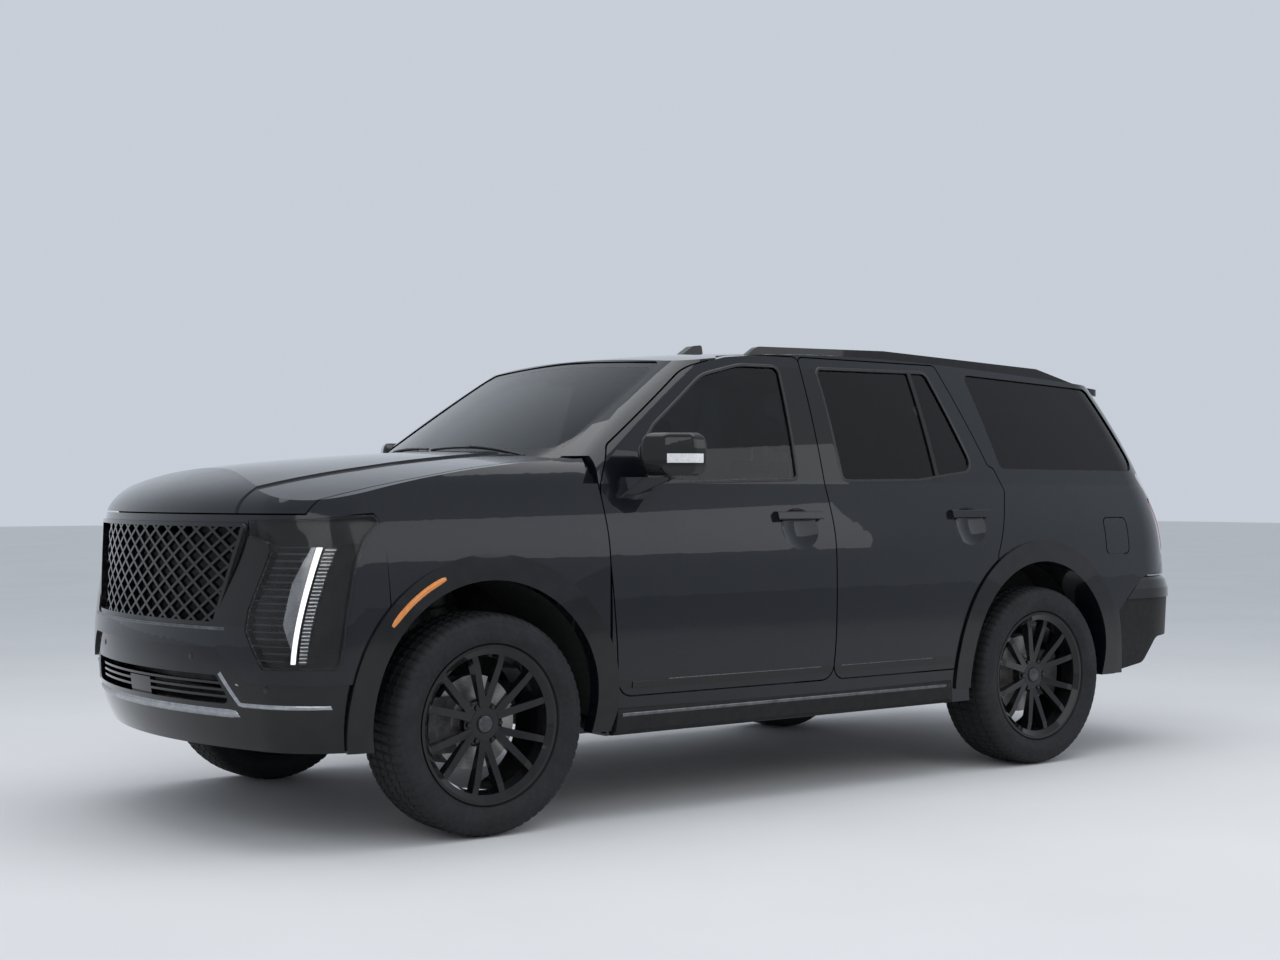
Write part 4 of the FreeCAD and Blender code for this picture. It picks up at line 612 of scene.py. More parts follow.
def band(name, node, pairs, along, material, body="root", steps=1, lift=0.0003,
         thick=0.0012, across=4, closed=False):
    """A thin piece that follows a node's surface between pairs of points, cast along a direction."""
    along = Vector(along).normalized()
    pairs = densified(pairs, steps)
    verts, faces = [], []
    last = len(pairs) - 1
    for i, (low, high) in enumerate(pairs):
        for j in range(across + 1):
            start = Vector(low).lerp(Vector(high), j / across) - along * RAY_START
            point, normal = cast(node, start, along)
            edge = j in (0, across) or (not closed and i in (0, last))
            verts.append(point + normal * (lift + (0.0 if edge else thick)))
    width = across + 1
    for i in range(last + 1 if closed else last):
        here, after = i * width, (i + 1) % (last + 1) * width
        for j in range(across):
            faces.append((here + j, here + j + 1, after + j + 1, after + j))
    mesh = mesh_from(name, verts, faces, 50)
    if mesh.polygons[len(faces) // 2].normal.dot(along) > 0:
        mesh.flip_normals()
    return piece(name, mesh, body, material)


def tube(name, points, radius, material, body="root", fineness=3, closed=False):
    """A round bar along points, with closed ends."""
    curve = bpy.data.curves.new(name, "CURVE")
    curve.dimensions = "3D"
    curve.bevel_depth = radius
    curve.bevel_resolution = fineness
    curve.use_fill_caps = True
    spline = curve.splines.new("POLY")
    spline.points.add(len(points) - 1)
    for control, at in zip(spline.points, points):
        control.co = (*at, 1)
    spline.use_cyclic_u = closed
    holder = bpy.data.objects.new(name + "_curve", curve)
    mesh = bpy.data.meshes.new_from_object(holder)
    bpy.data.objects.remove(holder)
    mesh.name = name
    mesh.shade_smooth()
    return piece(name, mesh, body, material)


def box_mesh(bm, centre, size, bevel):
    """Adds one box with rounded edges to a bmesh."""
    matrix = Matrix.Translation(centre) @ Matrix.Diagonal((*size, 1))
    made = bmesh.ops.create_cube(bm, size=1.0, matrix=matrix)
    edges = list({e for v in made["verts"] for e in v.link_edges})
    bmesh.ops.bevel(bm, geom=edges, offset=bevel, segments=3, affect="EDGES", profile=0.6)


def disc_mesh(bm, centre, axis, radius, depth, segments, taper, bevel):
    """Adds a short round boss whose axis points along a vector."""
    turn = Vector(axis).to_track_quat("Z", "Y").to_matrix().to_4x4()
    made = bmesh.ops.create_cone(bm, cap_ends=True, segments=segments, radius1=radius,
                                 radius2=radius * taper, depth=depth,
                                 matrix=Matrix.Translation(centre) @ turn)
    ends = [f for f in {f for v in made["verts"] for f in v.link_faces} if len(f.verts) > 4]
    edges = list({e for f in ends for e in f.edges})
    bmesh.ops.bevel(bm, geom=edges, offset=bevel, segments=2, affect="EDGES", profile=0.5)


def finished(name, bm, material, body="root"):
    mesh = bpy.data.meshes.new(name)
    bm.to_mesh(mesh)
    bm.free()
    mesh.shade_smooth()
    mesh.set_sharp_from_angle(angle=math.radians(35))
    return piece(name, mesh, body, material)


# Wheels: how far out the hub's face lies, then nuts and cap as radius, depth, sides, taper and
# bevel, and the ring round the cap as its radius and its wire's
HUB_OUT = 0.074
NUT_RING = 0.0699
NUT_COUNT = 6
NUT = (0.0115, 0.022, 6, 0.82, 0.001)
CAP = (0.033, 0.007, 48, 0.93, 0.0015)
CAP_RING = (0.0355, 0.0014)


def round_axle(end, y, radius, count, first=0.0):
    """Even points on a circle round an axle."""
    angles = [2 * math.pi * (i + first) / count for i in range(count)]
    return [(AXLE_X[end] + radius * math.sin(a), y, AXLE_Z + radius * math.cos(a)) for a in angles]


def wheel_details():
    for end in AXLE_X:
        for side, sign in SIDES.items():
            tag = "_" + end + "_" + side
            body = end + "_wheel_" + side
            face = sign * (WHEEL_Y + HUB_OUT)
            nuts = bmesh.new()
            for at in round_axle(end, face - sign * 0.008, NUT_RING, NUT_COUNT, 0.5):
                disc_mesh(nuts, at, (0, sign, 0), *NUT)
            finished("lug_nuts" + tag, nuts, GLOSS, body)
            cap = bmesh.new()
            disc_mesh(cap, (AXLE_X[end], face + sign * 0.0025, AXLE_Z), (0, sign, 0), *CAP)
            finished("wheel_cap" + tag, cap, CAP_GREY, body)
            ring = round_axle(end, face + sign * 0.0008, CAP_RING[0], 48)
            tube("cap_ring" + tag, ring, CAP_RING[1], GLOSS, body, 2, True)


wheel_details()


# The nose, seen from the front on +Y. Columns: low (y, z), high (y, z)
NOSE_X = -2.5
BRIGHT_LINE = [((0.972, 0.512), (0.972, 0.526)), ((0.8, 0.512), (0.8, 0.528)),
               ((0.668, 0.512), (0.664, 0.528)), ((0.646, 0.516), (0.656, 0.531)),
               ((0.556, 0.626), (0.571, 0.636))]
SKID_LINE = [((-0.645, 0.476), (-0.63, 0.498)), ((-0.6, 0.471), (-0.6, 0.501)),
             ((0.0, 0.471), (0.0, 0.501)), ((0.6, 0.471), (0.6, 0.501)),
             ((0.645, 0.476), (0.63, 0.498))]
GRILLE_FOOT = [((-0.6, 0.786), (-0.602, 0.797)), ((0.6, 0.786), (0.602, 0.797))]
NOSE_SENSORS = [(0.408, 0.682), (0.781, 0.58)]


def upright(x, rows, sign=1):
    """Pairs of (y, z) as pairs of points at one X."""
    return [((x, sign * y0, z0), (x, sign * y1, z1)) for (y0, z0), (y1, z1) in rows]


# A sensor's face and rim: ending of the name, lift, radius, depth, taper, bevel, material, slot
SENSOR_DISCS = [("", 0.0008, 0.0105, 0.0026, 0.94, 0.0006, SENSOR, "trim_matte"),
                ("_rim", 0.0002, 0.01344, 0.0018, 0.9, 0.0005, GLOSS, "trim_gloss")]


def sensors(name, node, x, spots, along):
    """Round sensors with raised rims on a node's surface, at each (y, z) on both sides."""
    for side, sign in SIDES.items():
        for i, (y, z) in enumerate(spots):
            start = Vector((x, sign * y, z)) - Vector(along) * RAY_START
            point, normal = cast(node, start, along)
            for ending, lift, radius, depth, taper, bevel, material, slot in SENSOR_DISCS:
                disc = bmesh.new()
                disc_mesh(disc, point + normal * lift, normal, radius, depth, 32, taper, bevel)
                finished(f"{name}_{side}_{i}{ending}", disc, material)


def nose_details():
    lower = "front_bumper_lower"
    band("skid_strip", lower, upright(NOSE_X, SKID_LINE), REARWARD, SATIN_METAL, steps=10,
         thick=0.004)
    for side, sign in SIDES.items():
        band("bright_line_" + side, lower, upright(NOSE_X, BRIGHT_LINE, sign), REARWARD,
             SATIN_METAL, steps=8, thick=0.003)
    sensors("nose_sensor", lower, NOSE_X, NOSE_SENSORS, REARWARD)


# Amber markers on the front arches: radii from the arch's centre, angles forward of its top
ARCH_CENTRE_Z = 0.47
MARKER_RADII = (0.524, 0.546)
MARKER_ANGLES = (22, 52)


def markers():
    middle, half = sum(MARKER_RADII) / 2, (MARKER_RADII[1] - MARKER_RADII[0]) / 2
    for side, sign in SIDES.items():
        pairs = []
        for i in range(25):
            angle = math.radians(MARKER_ANGLES[0] + (MARKER_ANGLES[1] - MARKER_ANGLES[0]) * i / 24)
            reach = half * (1 - 0.5 * abs(i / 12 - 1) ** 8)
            pairs.append([(AXLE_X["front"] - r * math.sin(angle), sign * 1.03,
                           ARCH_CENTRE_Z + r * math.cos(angle))
                          for r in (middle - reach, middle + reach)])
        band("marker_" + side, "arch_mouldings", pairs, (0, -sign, 0), AMBER,
             thick=0.004)


# Windows: seals around them and the dark border of the windscreen
def outline_of(node, axes, count):
    """Points around a node's silhouette, by angle about its middle, seen along the third axis."""
    u, v = axes
    rows = [(p.co[u], p.co[v]) for p in NODES[node].data.vertices]
    cu = (min(r[0] for r in rows) + max(r[0] for r in rows)) / 2
    cv = (min(r[1] for r in rows) + max(r[1] for r in rows)) / 2
    hull = convex_hull([(a - cu, b - cv) for a, b in rows])
    points = []
    for i in range(count):
        angle = 2 * math.pi * i / count
        du, dv = math.cos(angle), math.sin(angle)
        reach = 0.0
        for (a0, b0), (a1, b1) in zip(hull, hull[1:] + hull[:1]):
            den = du * (b1 - b0) - dv * (a1 - a0)
            if abs(den) < 1e-12:
                continue
            t = (a0 * (b1 - b0) - b0 * (a1 - a0)) / den
            k = (a0 * dv - b0 * du) / den
            if t > 0 and -1e-6 <= k <= 1 + 1e-6:
                reach = max(reach, t)
        points.append((cu + du * reach, cv + dv * reach))
    return points


def convex_hull(rows):
    rows = sorted(set((round(a, 5), round(b, 5)) for a, b in rows))

    def chain(ordered):
        kept = []
        for p in ordered:
            while len(kept) > 1 and ((kept[-1][0] - kept[-2][0]) * (p[1] - kept[-2][1])
                                     - (kept[-1][1] - kept[-2][1]) * (p[0] - kept[-2][0])) <= 0:
                kept.pop()
            kept.append(p)
        return kept[:-1]

    return chain(rows) + chain(rows[::-1])


def even(points, count):
    """The same closed outline with points at even distances."""
    closed = points + points[:1]
    lengths = [math.dist(a, b) for a, b in zip(closed, closed[1:])]
    total, result, k, past = sum(lengths), [], 0, 0.0
    for i in range(count):
        want = total * i / count
        while past + lengths[k] < want:
            past += lengths[k]
            k += 1
        f = (want - past) / max(lengths[k], 1e-9)
        result.append(tuple(a + (b - a) * f for a, b in zip(closed[k], closed[k + 1])))
    return result


def offset(points, distance):
    """A closed outline moved outward."""
    count = len(points)
    moved = []
    for i in range(count):
        a, b = points[i - 1], points[(i + 1) % count]
        du, dv = b[0] - a[0], b[1] - a[1]
        size = math.hypot(du, dv)
        moved.append((points[i][0] + dv / size * distance, points[i][1] - du / size * distance))
    return moved


# The seals' inner and outer reach from a pane's outline. The windscreen's border: how far in it
# starts, how far it reaches below and above a height
SEAL_REACH = (-0.0062, 0.006)
BORDER_INSETS = (0.0095, 0.075, 0.035)
BORDER_NARROW_Z = 1.46


def window_trim():
    for side, sign in SIDES.items():
        for end in AXLE_X:
            pane, door = f"{end}_door_glass_{side}", f"{end}_door_{side}"
            loop = even(outline_of(pane, (0, 2), 720), 160)
            inner, outer = (offset(loop, reach) for reach in SEAL_REACH)
            pairs = [[(x, sign * 1.05, z) for x, z in pair] for pair in zip(inner, outer)]
            band("seal_" + pane, door, pairs, (0, -sign, 0), SEAL, body=door, thick=0.0018,
                 across=3, closed=True)


def windscreen_border():
    loop = even(outline_of("windscreen", (1, 2), 720), 200)
    edge, below, above = (offset(loop, -inset) for inset in BORDER_INSETS)
    pairs = []
    for i, (_, z) in enumerate(loop):
        deep = below[i] if z < BORDER_NARROW_Z else above[i]
        pairs.append(((-0.9, *deep), (-0.9, *edge[i])))
    band("windscreen_border", "windscreen", pairs, REARWARD, FRIT, lift=0.0002, thick=0.0,
         across=5, closed=True)


# Wipers parked along the foot of the windscreen: Y of pivot and tip, and the blade's middle
# height, its fall per Y squared, its bow and its lift from the glass
WIPERS = {"driver": (-0.6, 0.02), "passenger": (0.05, 0.66)}
WIPER_Z = 1.452
WIPER_FALL = 0.1
WIPER_BOW = 0.012
WIPER_LIFT = 0.014


def wipers():
    for name, (pivot, tip) in WIPERS.items():
        points = []
        for i in range(13):
            y = pivot + (tip - pivot) * i / 12
            z = WIPER_Z - WIPER_FALL * y ** 2 + WIPER_BOW * math.sin(math.pi * i / 12)
            point, normal = cast("windscreen", (-3.0, y, z), REARWARD)
            points.append(point + normal * WIPER_LIFT)
        tube("wiper_arm_" + name, points[:8], 0.0055, SEAL)
        blade = [p - Vector((0, 0, 0.004)) for p in points[2:]]
        tube("wiper_blade_" + name, blade, 0.0045, RUBBER)


# Door mirrors: the glass at the rear of each head, and how far its corners are pinched
MIRROR_GLASS_Y = (1.012, 1.158)
MIRROR_GLASS_Z = (1.378, 1.488)
MIRROR_PINCH = 0.012


def mirror_faces():
    y0, y1 = MIRROR_GLASS_Y
    z0, z1 = MIRROR_GLASS_Z
    rows = []
    for i in range(17):
        f = i / 16
        y, pinch = y0 + (y1 - y0) * f, MIRROR_PINCH * abs(2 * f - 1) ** 6
        rows.append(((y, z0 + pinch), (y, z1 - pinch)))
    for side, sign in SIDES.items():
        band("mirror_glass_" + side, "mirror_head_" + side, upright(-0.8, rows, sign), FORWARD,
             MIRROR_GLASS, body="mirror_" + side, across=8)


# Seats: pads blown up as cloth and held along their seams, in the space of the CAD seats.
# A pad is drawn about its seat: X back from the cushion's front, Y across, Z from the cushion's
# top. Profile as (x, z); half width; bevel; voxel; share of its width lost at the top;
# depth of the middle panel; seams at |y|; cross seams as (x, z)
CUSHION = [(0.018, -0.124), (0.014, -0.018), (0.486, -0.046), (0.492, -0.14)]
BACK = [(0.456, -0.052), (0.604, 0.572), (0.684, 0.562), (0.566, -0.078)]
HEADREST = [(0.604, 0.634), (0.622, 0.768), (0.688, 0.76), (0.68, 0.616)]
PADS = {
    "cushion": (CUSHION, 0.25, 0.034, 0.0105, 0.0, 0.016, [0.158],
                [(0.13, 0.0), (0.26, 0.0), (0.38, 0.0)]),
    "back": (BACK, 0.24, 0.034, 0.0105, 0.16, 0.018, [0.15],
             [(0.0, 0.1), (0.0, 0.24), (0.0, 0.4)]),
    "headrest": (HEADREST, 0.116, 0.028, 0.0085, 0.1, 0.0, [], []),
    "bench": (CUSHION, 0.545, 0.034, 0.0135, 0.0, 0.0, [0.0, 0.27, 0.45], [(0.26, 0.0)]),
    "bench_back": (BACK, 0.535, 0.034, 0.0135, 0.06, 0.0, [0.0, 0.27, 0.45],
                   [(0.0, 0.16), (0.0, 0.36)]),
}
LYING = ("cushion", "bench")
PAD_CAP = 0.022
PRESSURE = 4.0
SWELL_FRAMES = 20
SEAM_HOLD = 0.0075
PANEL_SLOPE = 0.03


def pad_block(profile, half, bevel, top_loss):
    """A closed block with rounded edges that narrows toward its top."""
    bm = bmesh.new()
    rows = [[bm.verts.new((x, y, z)) for x, z in profile] for y in (-half, half)]
    bm.faces.new(rows[0])
    bm.faces.new(rows[1][::-1])
    for i in range(len(profile)):
        j = (i + 1) % len(profile)
        bm.faces.new((rows[0][j], rows[0][i], rows[1][i], rows[1][j]))
    bmesh.ops.recalc_face_normals(bm, faces=bm.faces)
    bmesh.ops.bevel(bm, geom=list(bm.edges), offset=bevel, segments=4, affect="EDGES", profile=0.5)
    low, high = min(z for _, z in profile), max(z for _, z in profile)
    for v in bm.verts:
        v.co.y *= 1 - top_loss * max(0.0, (v.co.z - low) / (high - low)) ** 2
    mesh = bpy.data.meshes.new("pad")
    bm.to_mesh(mesh)
    bm.free()
    return mesh


def seam_distance(co, kind, seams, crosses):
    """How far a point of the pad's front or top lies from the nearest seam."""
    gaps = [abs(abs(co.y) - at) for at in seams]
    if not seams or abs(co.y) < max(seams) + SEAM_HOLD:
        gaps += [abs(co.x - x) if kind in LYING else abs(co.z - z) for x, z in crosses]
    return min(gaps, default=1.0)


def modified(thing):
    """The object's mesh with its modifiers, as a new mesh."""
    graph = bpy.context.evaluated_depsgraph_get()
    return bpy.data.meshes.new_from_object(thing.evaluated_get(graph))


def pad_starts():
    """Every pad as an even mesh, with its middle panel set in and its seams marked."""
    things = {}
    for kind, (profile, half, bevel, voxel, top_loss, deep, seams, crosses) in PADS.items():
        thing = linked("pad_" + kind, pad_block(profile, half, bevel, top_loss))
        remesh = thing.modifiers.new("even", "REMESH")
        remesh.mode = "VOXEL"
        remesh.voxel_size = voxel
        mesh = modified(thing)
        thing.modifiers.clear()
        thing.data = mesh
        held = []
        for v in mesh.vertices:
            normal = v.normal
            if (normal.z if kind in LYING else -normal.x) <= 0.5:
                continue
            if deep and abs(v.co.y) < seams[0]:
                v.co -= normal * (deep * min(1.0, (seams[0] - abs(v.co.y)) / PANEL_SLOPE))
            if seam_distance(v.co, kind, seams, crosses) < SEAM_HOLD:
                held.append(v.index)
        thing.vertex_groups.new(name="held").add(held, 1.0, "REPLACE")
        things[kind] = thing
    return things


def swell(things):
    """Blows every pad up as cloth in one run of frames and caps how far a point moves."""
    scene = bpy.context.scene
    for thing in things.values():
        cloth = thing.modifiers.new("swell", "CLOTH")
        cloth.settings.use_pressure = True
        cloth.settings.uniform_pressure_force = PRESSURE
        cloth.settings.effector_weights.gravity = 0
        cloth.settings.vertex_group_mass = "held"
        cloth.settings.quality = 4
        cloth.point_cache.frame_end = SWELL_FRAMES
    for step in range(1, SWELL_FRAMES + 1):
        scene.frame_set(step)
    blown = {kind: modified(thing) for kind, thing in things.items()}
    scene.frame_set(1)
    for kind, thing in things.items():
        thing.modifiers.clear()
        for v, after in zip(thing.data.vertices, blown[kind].vertices):
            move = after.co - v.co
            v.co += move.normalized() * min(move.length, PAD_CAP)


def smoothed(mesh):
    thing = linked("smoothing", mesh)
    soften = thing.modifiers.new("soften", "SMOOTH")
    soften.factor = 0.5
    soften.iterations = 2
    thing.modifiers.new("finer", "SUBSURF").levels = 1
    thing.modifiers.new("thinner", "DECIMATE").ratio = 0.28
    result = modified(thing)
    bpy.data.objects.remove(thing)
    result.shade_smooth()
    return result


def seam_lines(kind, seams, crosses):
    """The seams as rows of points in front of the pad, with the direction toward it."""
    lines = []
    lying = kind in LYING
    for at in seams:
        for y in (-at, at) if at else (0.0,):
            if lying:
                lines.append([(0.03 + 0.44 * i / 40, y, 0.3) for i in range(41)])
            else:
                lines.append([(0.0, y, -0.02 + 0.55 * i / 40) for i in range(41)])
    reach = max(seams, default=0.0)
    for x, z in crosses:
        row = [-reach + 2 * reach * i / 40 for i in range(41)]
        lines.append([(x, y, 0.3) for y in row] if lying else [(0.0, y, z) for y in row])
    return lines, Vector((0, 0, -1) if lying else REARWARD)


def stitched(mesh, lines, along):
    """Points just proud of the pad along each line."""
    tree = tree_from(mesh)
    result = []
    for line in lines:
        hits = [tree.ray_cast(Vector(start), along)[0] for start in line]
        row = [point - along * 0.0002 for point in hits if point is not None]
        if len(row) > 2:
            result.append(row)
    return result


# Each seat: the pads' kinds, the node they stand for, X, floor height, cushion height, the Y of
# its seats and the half width of its frame
SEAT_ROWS = {
    "front": (("cushion", "back", "headrest"), "front_seats", -0.52, 0.515, 0.35, (-0.39, 0.39),
              0.265),
    "middle": (("cushion", "back", "headrest"), "middle_seats", 0.36, 0.515, 0.35,
               (-0.39, 0.39), 0.265),
    "rear": (("bench", "bench_back"), "rear_bench", 1.23, 0.69, 0.24, (0.0,), 0.56),
}
BENCH_HEADREST_Y = 0.28
# A headrest's posts: Y of both, foot and rise
POSTS = {"a": -0.05, "b": 0.05}
POST_FOOT = (0.645, 0.545)
POST_RISE = (0.006, 0, 0.1)


def moved_mesh(mesh, name, by):
    copy = mesh.copy()
    copy.name = name
    copy.transform(Matrix.Translation(by))
    return copy


def seats():
    things = pad_starts()
    swell(things)
    meshes, threads = {}, {}
    for kind, thing in things.items():
        meshes[kind] = smoothed(thing.data)
        threads[kind] = stitched(meshes[kind], *seam_lines(kind, *PADS[kind][-2:]))
        bpy.data.objects.remove(thing)
    for row, (kinds, node, x, floor_z, height, spots, half) in SEAT_ROWS.items():
        for number, y in enumerate(spots):
            at = Vector((x, y, floor_z + height))
            tag = f"_{row}_{number}"
            places = [(kind, at) for kind in kinds]
            if row == "rear":
                places += [("headrest", at + Vector((0, side * BENCH_HEADREST_Y, 0)))
                           for side in (-1, 1)]
            for count, (kind, by) in enumerate(places):
                name = f"{kind}{tag}_{count}"
                mesh = moved_mesh(meshes[kind], name, by)
                pad = piece(name, mesh, "root", LEATHER)
                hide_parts(node)
                for i, line in enumerate(threads[kind]):
                    tube(f"seam_{name}_{i}", [p + by for p in line], 0.0016, THREAD,
                         fineness=2)
                if kind == "headrest":
                    for letter, off in POSTS.items():
                        foot = by + Vector((POST_FOOT[0], off, POST_FOOT[1]))
                        tube(f"post_{name}_{letter}", [foot, foot + Vector(POST_RISE)], 0.006,
                             SATIN_METAL, fineness=4)
            frame_under(tag, x + 0.26, y, floor_z + 0.0465, floor_z + height - 0.136, half)


def frame_under(tag, x, y, low, top, half):
    """A seat's frame about its middle: two rails, side covers where it is tall, and a pan."""
    base = bmesh.new()
    for side in (-1, 1):
        off = y + side * (half - 0.085)
        box_mesh(base, (x, off, low + 0.012), (0.33, 0.036, 0.022), 0.004)
        if top - low > 0.09:
            box_mesh(base, (x, off, (top + low) / 2), (0.3, 0.03, top - low - 0.02), 0.01)
    box_mesh(base, (x, y, top - 0.016), (0.33, 2 * half - 0.14, 0.03), 0.01)
    finished("seat_frame" + tag, base, CABIN_TRIM)


# The tail, seen from behind on +Y. Strips: node, material, slot, whether on both sides, steps,
# thickness, low (y, z) and high (y, z) at both ends
TAIL_X = 2.7
TAIL_STRIPS = {
    "tail_light_strip": ("tail_lamps", RED_STRIP, "lamp_rear", True, 24, 0.002,
                         [((0.893, 0.985), (0.905, 0.985)), ((0.872, 1.26), (0.884, 1.26))]),
    "tail_inner_strip": ("tail_lamps", RED_STRIP, "lamp_rear", True, 24, 0.002,
                         [((0.8, 0.99), (0.806, 0.99)), ((0.775, 1.255), (0.781, 1.255))]),
    "gate_handle_strip": ("liftgate", SMOKED_METAL, "trim_gloss", False, 24, 0.006,
                          [((-0.3, 0.985), (-0.3, 1.012)), ((0.3, 0.985), (0.3, 1.012))]),
    "high_stop_lamp": ("liftgate", RED_STRIP, "lamp_rear", False, 24, 0.002,
                       [((-0.17, 1.806), (-0.17, 1.818)), ((0.17, 1.806), (0.17, 1.818))]),
    "rear_bright_line": ("rear_bumper", SATIN_METAL, "trim_gloss", False, 48, 0.003,
                         [((-0.86, 0.6), (-0.86, 0.612)), ((0.86, 0.6), (0.86, 0.612))]),
    "rear_reflector": ("rear_bumper", RED_STRIP, "lamp_rear", True, 24, 0.002,
                       [((0.66, 0.64), (0.66, 0.66)), ((0.82, 0.64), (0.82, 0.66))]),
}
TAIL_SENSORS = [(0.35, 0.7), (0.78, 0.7)]


def tail_details():
    for name, (node, material, slot, both, steps, thick, ends) in TAIL_STRIPS.items():
        body = node if node == "liftgate" else "root"
        for side, sign in SIDES.items() if both else [("", 1)]:
            band(f"{name}_{side}" if both else name, node, upright(TAIL_X, ends, sign), FORWARD,
                 material, body, steps, thick=thick)
    sensors("tail_sensor", "rear_bumper", TAIL_X, TAIL_SENSORS, FORWARD)


# Coil springs round the struts: foot and head as (y, z), coil radius, turns
SPRINGS = {"front": ((0.585, 0.485), (0.562, 0.875), 0.0545, 7),
           "rear": ((0.598, 0.375), (0.573, 0.6), 0.049, 5)}
WIRE = 0.0058


def springs():
    for end, (foot, head, radius, turns) in SPRINGS.items():
        for side, sign in SIDES.items():
            low, high = (Vector((AXLE_X[end], sign * y, z)) for y, z in (foot, head))
            turn = (high - low).to_track_quat("Z", "Y")
            points = []
            for i in range(turns * 20 + 1):
                angle = 2 * math.pi * i / 20
                out = turn @ Vector((radius * math.cos(angle), radius * math.sin(angle), 0))
                points.append(low.lerp(high, i / (turns * 20)) + out)
            tube(f"coil_spring_{end}_{side}", points, WIRE, CHASSIS)


# The cabin. Door cards: X from and to at each door; then low and high Z, inset, thickness, look
CARD_X = {"front": (-0.98, -0.07), "rear": (0.13, 0.8)}
CARDS = {"card_low": (0.66, 0.9, 0.0, 0.01, CABIN_TRIM),
         "card_rest": (0.91, 1.00, 0.06, 0.045, LEATHER),
         "card_high": (1.01, 1.22, 0.0, 0.014, LEATHER),
         "card_sill": (1.23, 1.27, 0.0, 0.01, CABIN_TRIM)}
CARD_Y = 0.6
# Headliner: X from and to, half width, Z to cast from
LINER = (-0.5, 1.95, 0.56, 1.7)
# On the dashboard, from behind at an X: the screen's and each vent's span of Y, and their Z
DASH_X = -0.85
SCREEN_Y = (-0.68, 0.14)
SCREEN_Z = (1.075, 1.165)
VENTS_Y = [(-0.74, -0.6), (-0.15, -0.02), (0.02, 0.15), (0.6, 0.74)]
VENT_Z = 1.000
SLAT_STEP = 0.014
# On the console: centre, size, bevel, material, slot
CONSOLE = {"console_lid": ((-0.1, 0.0, 0.868), (0.28, 0.19, 0.034), 0.014, LEATHER,
                           "seat_leather"),
           "console_selector": ((-0.6, 0.0, 0.905), (0.055, 0.034, 0.085), 0.014, GLOSS,
                                "cabin_plastic")}


def door_cards():
    for end, (x0, x1) in CARD_X.items():
        for side, sign in SIDES.items():
            door = f"{end}_door_{side}"
            for name, (low, high, inset, thick, material) in CARDS.items():
                pairs = [[(x, sign * CARD_Y, z) for z in (low, high)]
                         for x in (x0 + inset, x1 - inset)]
                band(f"{name}_{door}", door, pairs, (0, sign, 0), material, door,
                     18, thick=thick, across=8)


def dash_band(name, y_span, z_span, material, steps, thick, across):
    ends = [[(y, z) for z in z_span] for y in y_span]
    band(name, "dashboard", upright(DASH_X, ends), FORWARD, material, steps=steps,
         thick=thick, across=across)


def cabin_details():
    x0, x1, half, z = LINER
    roof = [[(x, y, z) for y in (-half, half)] for x in (x0, x1)]
    band("headliner", "roof_panel", roof, (0, 0, 1), HEADLINER, steps=40,
         thick=0.006, across=24)
    dash_band("dash_screen", SCREEN_Y, SCREEN_Z, SCREEN, 30, 0.004, 4)
    for i, y_span in enumerate(VENTS_Y):
        for j in range(4):
            z = VENT_Z + SLAT_STEP * j
            dash_band(f"vent_{i}_{j}", y_span, (z, z + SLAT_STEP / 2), SMOKED_METAL, 6, 0.003, 3)
    for name, (centre, size, bevel, material, slot) in CONSOLE.items():
        block = bmesh.new()
        box_mesh(block, centre, size, bevel)
        finished(name, block, material)


# Thin lines along the sill: X from and to, low and high Z. The doors' lines sit on the top edge of
# their glossy moulding and are painted highlights of that edge
SILL_LINES = {"running_boards": (-1.1, 0.745, 0.404, 0.417),
              "front_door": (-0.88, -0.06, 0.5385, 0.5425),
              "rear_door": (0.06, 0.62, 0.5385, 0.5425)}


def thin_lines():
    for side, sign in SIDES.items():
        for stem, (x0, x1, low, high) in SILL_LINES.items():
            node = stem if stem in NODES else f"{stem}_{side}"
            pairs = [[(x, sign * 1.1, z) for z in (low, high)] for x in (x0, x1)]
            band(f"sill_line_{stem}_{side}", node, pairs, (0, -sign, 0), SMOKED_METAL,
                 body="root" if stem in NODES else node, steps=40, thick=0.0014)
    band("grille_foot_line", "front_bumper", upright(NOSE_X, GRILLE_FOOT), REARWARD, SMOKED_METAL,
         steps=40, thick=0.002)


# The radiator behind the grille: X, half width, low and high Z, fins
RADIATOR = (-2.368, 0.47, 0.68, 1.11, 36)


def radiator():
    x, half, low, high, fins = RADIATOR
    core = bmesh.new()
    box_mesh(core, (x + 0.008, 0, (low + high) / 2), (0.012, 2 * half, high - low), 0.002)
    for i in range(fins):
        z = low + (high - low) * (i + 0.5) / fins
        box_mesh(core, (x - 0.006, 0, z), (0.02, 2 * half - 0.06, 0.004), 0.0008)
    for side in (-1, 1):
        centre = (x, side * (half - 0.016), (low + high) / 2)
        box_mesh(core, centre, (0.034, 0.036, high - low), 0.008)
    finished("radiator", core, CHASSIS)


nose_details()
radiator()
thin_lines()
markers()
window_trim()
windscreen_border()
wipers()
mirror_faces()
seats()
tail_details()
springs()
door_cards()
cabin_details()



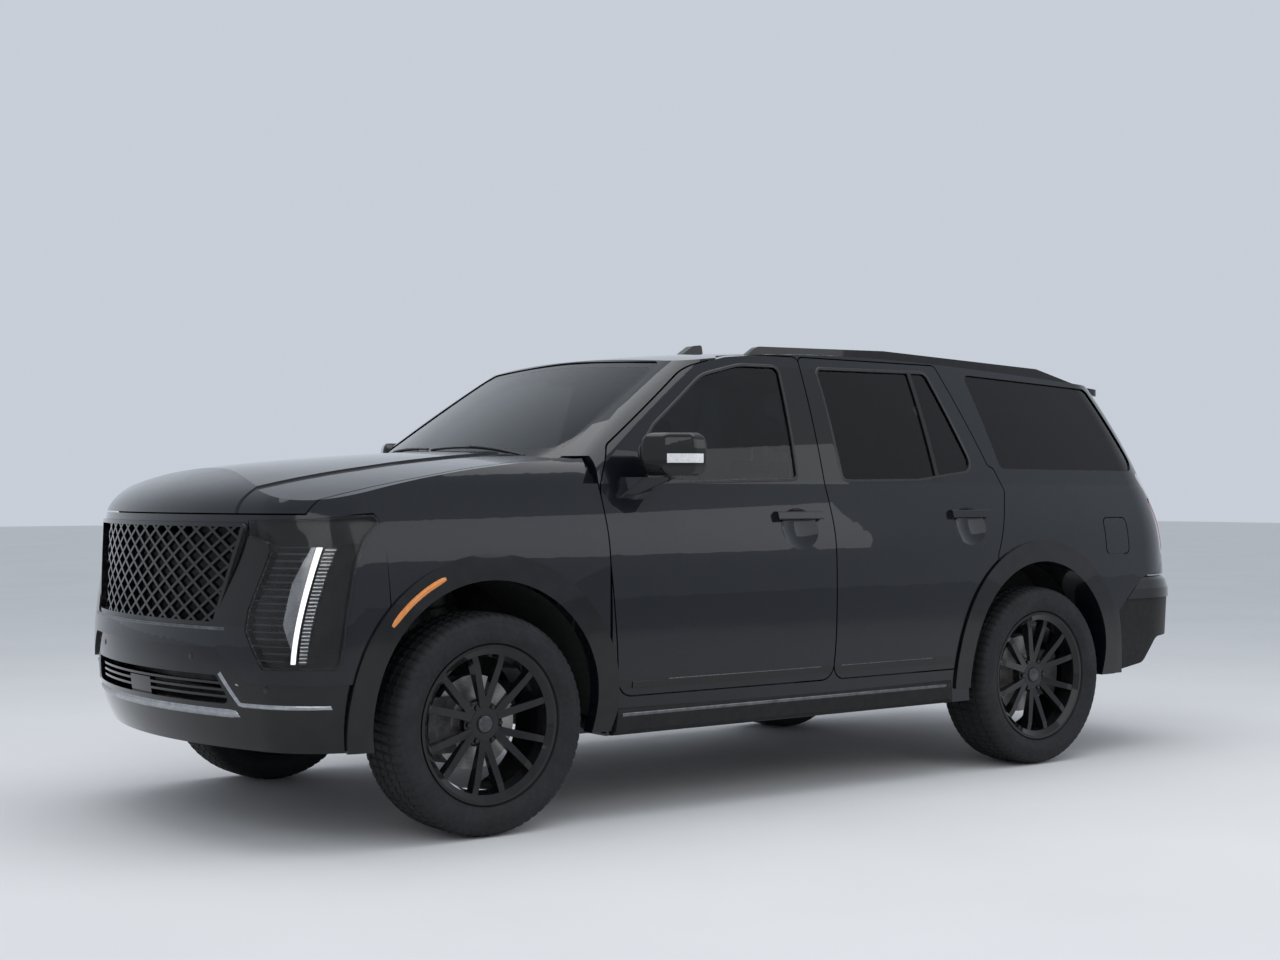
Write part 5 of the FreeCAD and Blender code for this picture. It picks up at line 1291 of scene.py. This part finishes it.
# Studio, with each light's place, aim, size and power
FLOOR_HALF = 60.0
WORLD_COLOUR = (0.8, 0.86, 0.95, 1)
WORLD_STRENGTH = 0.72
LIGHTS = {
    "overhead": ((-0.5, -0.5, 6.5), (0, 0, 0), (9.0, 5.0), 240),
    "front_left": ((-6.5, -5.5, 4.5), (-1, 0, 0.8), (5.0, 4.0), 90),
    "side_fill": ((2.5, -7.5, 3.8), (0.8, 0, 0.8), (8.0, 3.5), 90),
}


def camera():
    data = bpy.data.cameras.new("camera")
    data.lens = CAMERA_LENS
    data.sensor_width = 36.0
    data.shift_y = CAMERA_SHIFT
    data.clip_end = 200.0
    thing = linked("camera", data)
    thing.location = CAMERA_AT
    thing.rotation_euler = (math.radians(90 + CAMERA_PITCH), 0, math.radians(CAMERA_YAW - 90))
    bpy.context.scene.camera = thing


def studio_floor():
    """A pale floor that keeps the shadow, and meets the pale world at its far edge."""
    mesh = bpy.data.meshes.new("floor")
    corners = [(-1, -1), (1, -1), (1, 1), (-1, 1)]
    mesh.from_pydata([(x * FLOOR_HALF, y * FLOOR_HALF, 0) for x, y in corners], [], [(0, 1, 2, 3)])
    shade = Shade("studio_floor")
    shade.clouds(0.7, 4.0, 0.7, 0.74)
    shade.sheen(5.0, 4.0, 0.75, 0.9)
    mesh.materials.append(shade.material)
    floor = linked("studio_floor", mesh)


def world():
    """A pale even surround."""
    data = bpy.data.worlds.new("studio_world")
    bpy.context.scene.world = data
    data.use_nodes = True
    back = data.node_tree.nodes["Background"]
    back.inputs["Color"].default_value = WORLD_COLOUR
    back.inputs["Strength"].default_value = WORLD_STRENGTH


def area_light(name, at, aim, size, power):
    data = bpy.data.lights.new(name, "AREA")
    data.shape = "RECTANGLE"
    data.size, data.size_y = size
    data.energy = power
    thing = linked(name, data)
    thing.location = at
    thing.rotation_euler = (Vector(aim) - Vector(at)).to_track_quat("-Z", "Y").to_euler()


camera()
studio_floor()
world()
for name, values in LIGHTS.items():
    area_light(name, *values)
bpy.context.scene.view_settings.view_transform = "Standard"
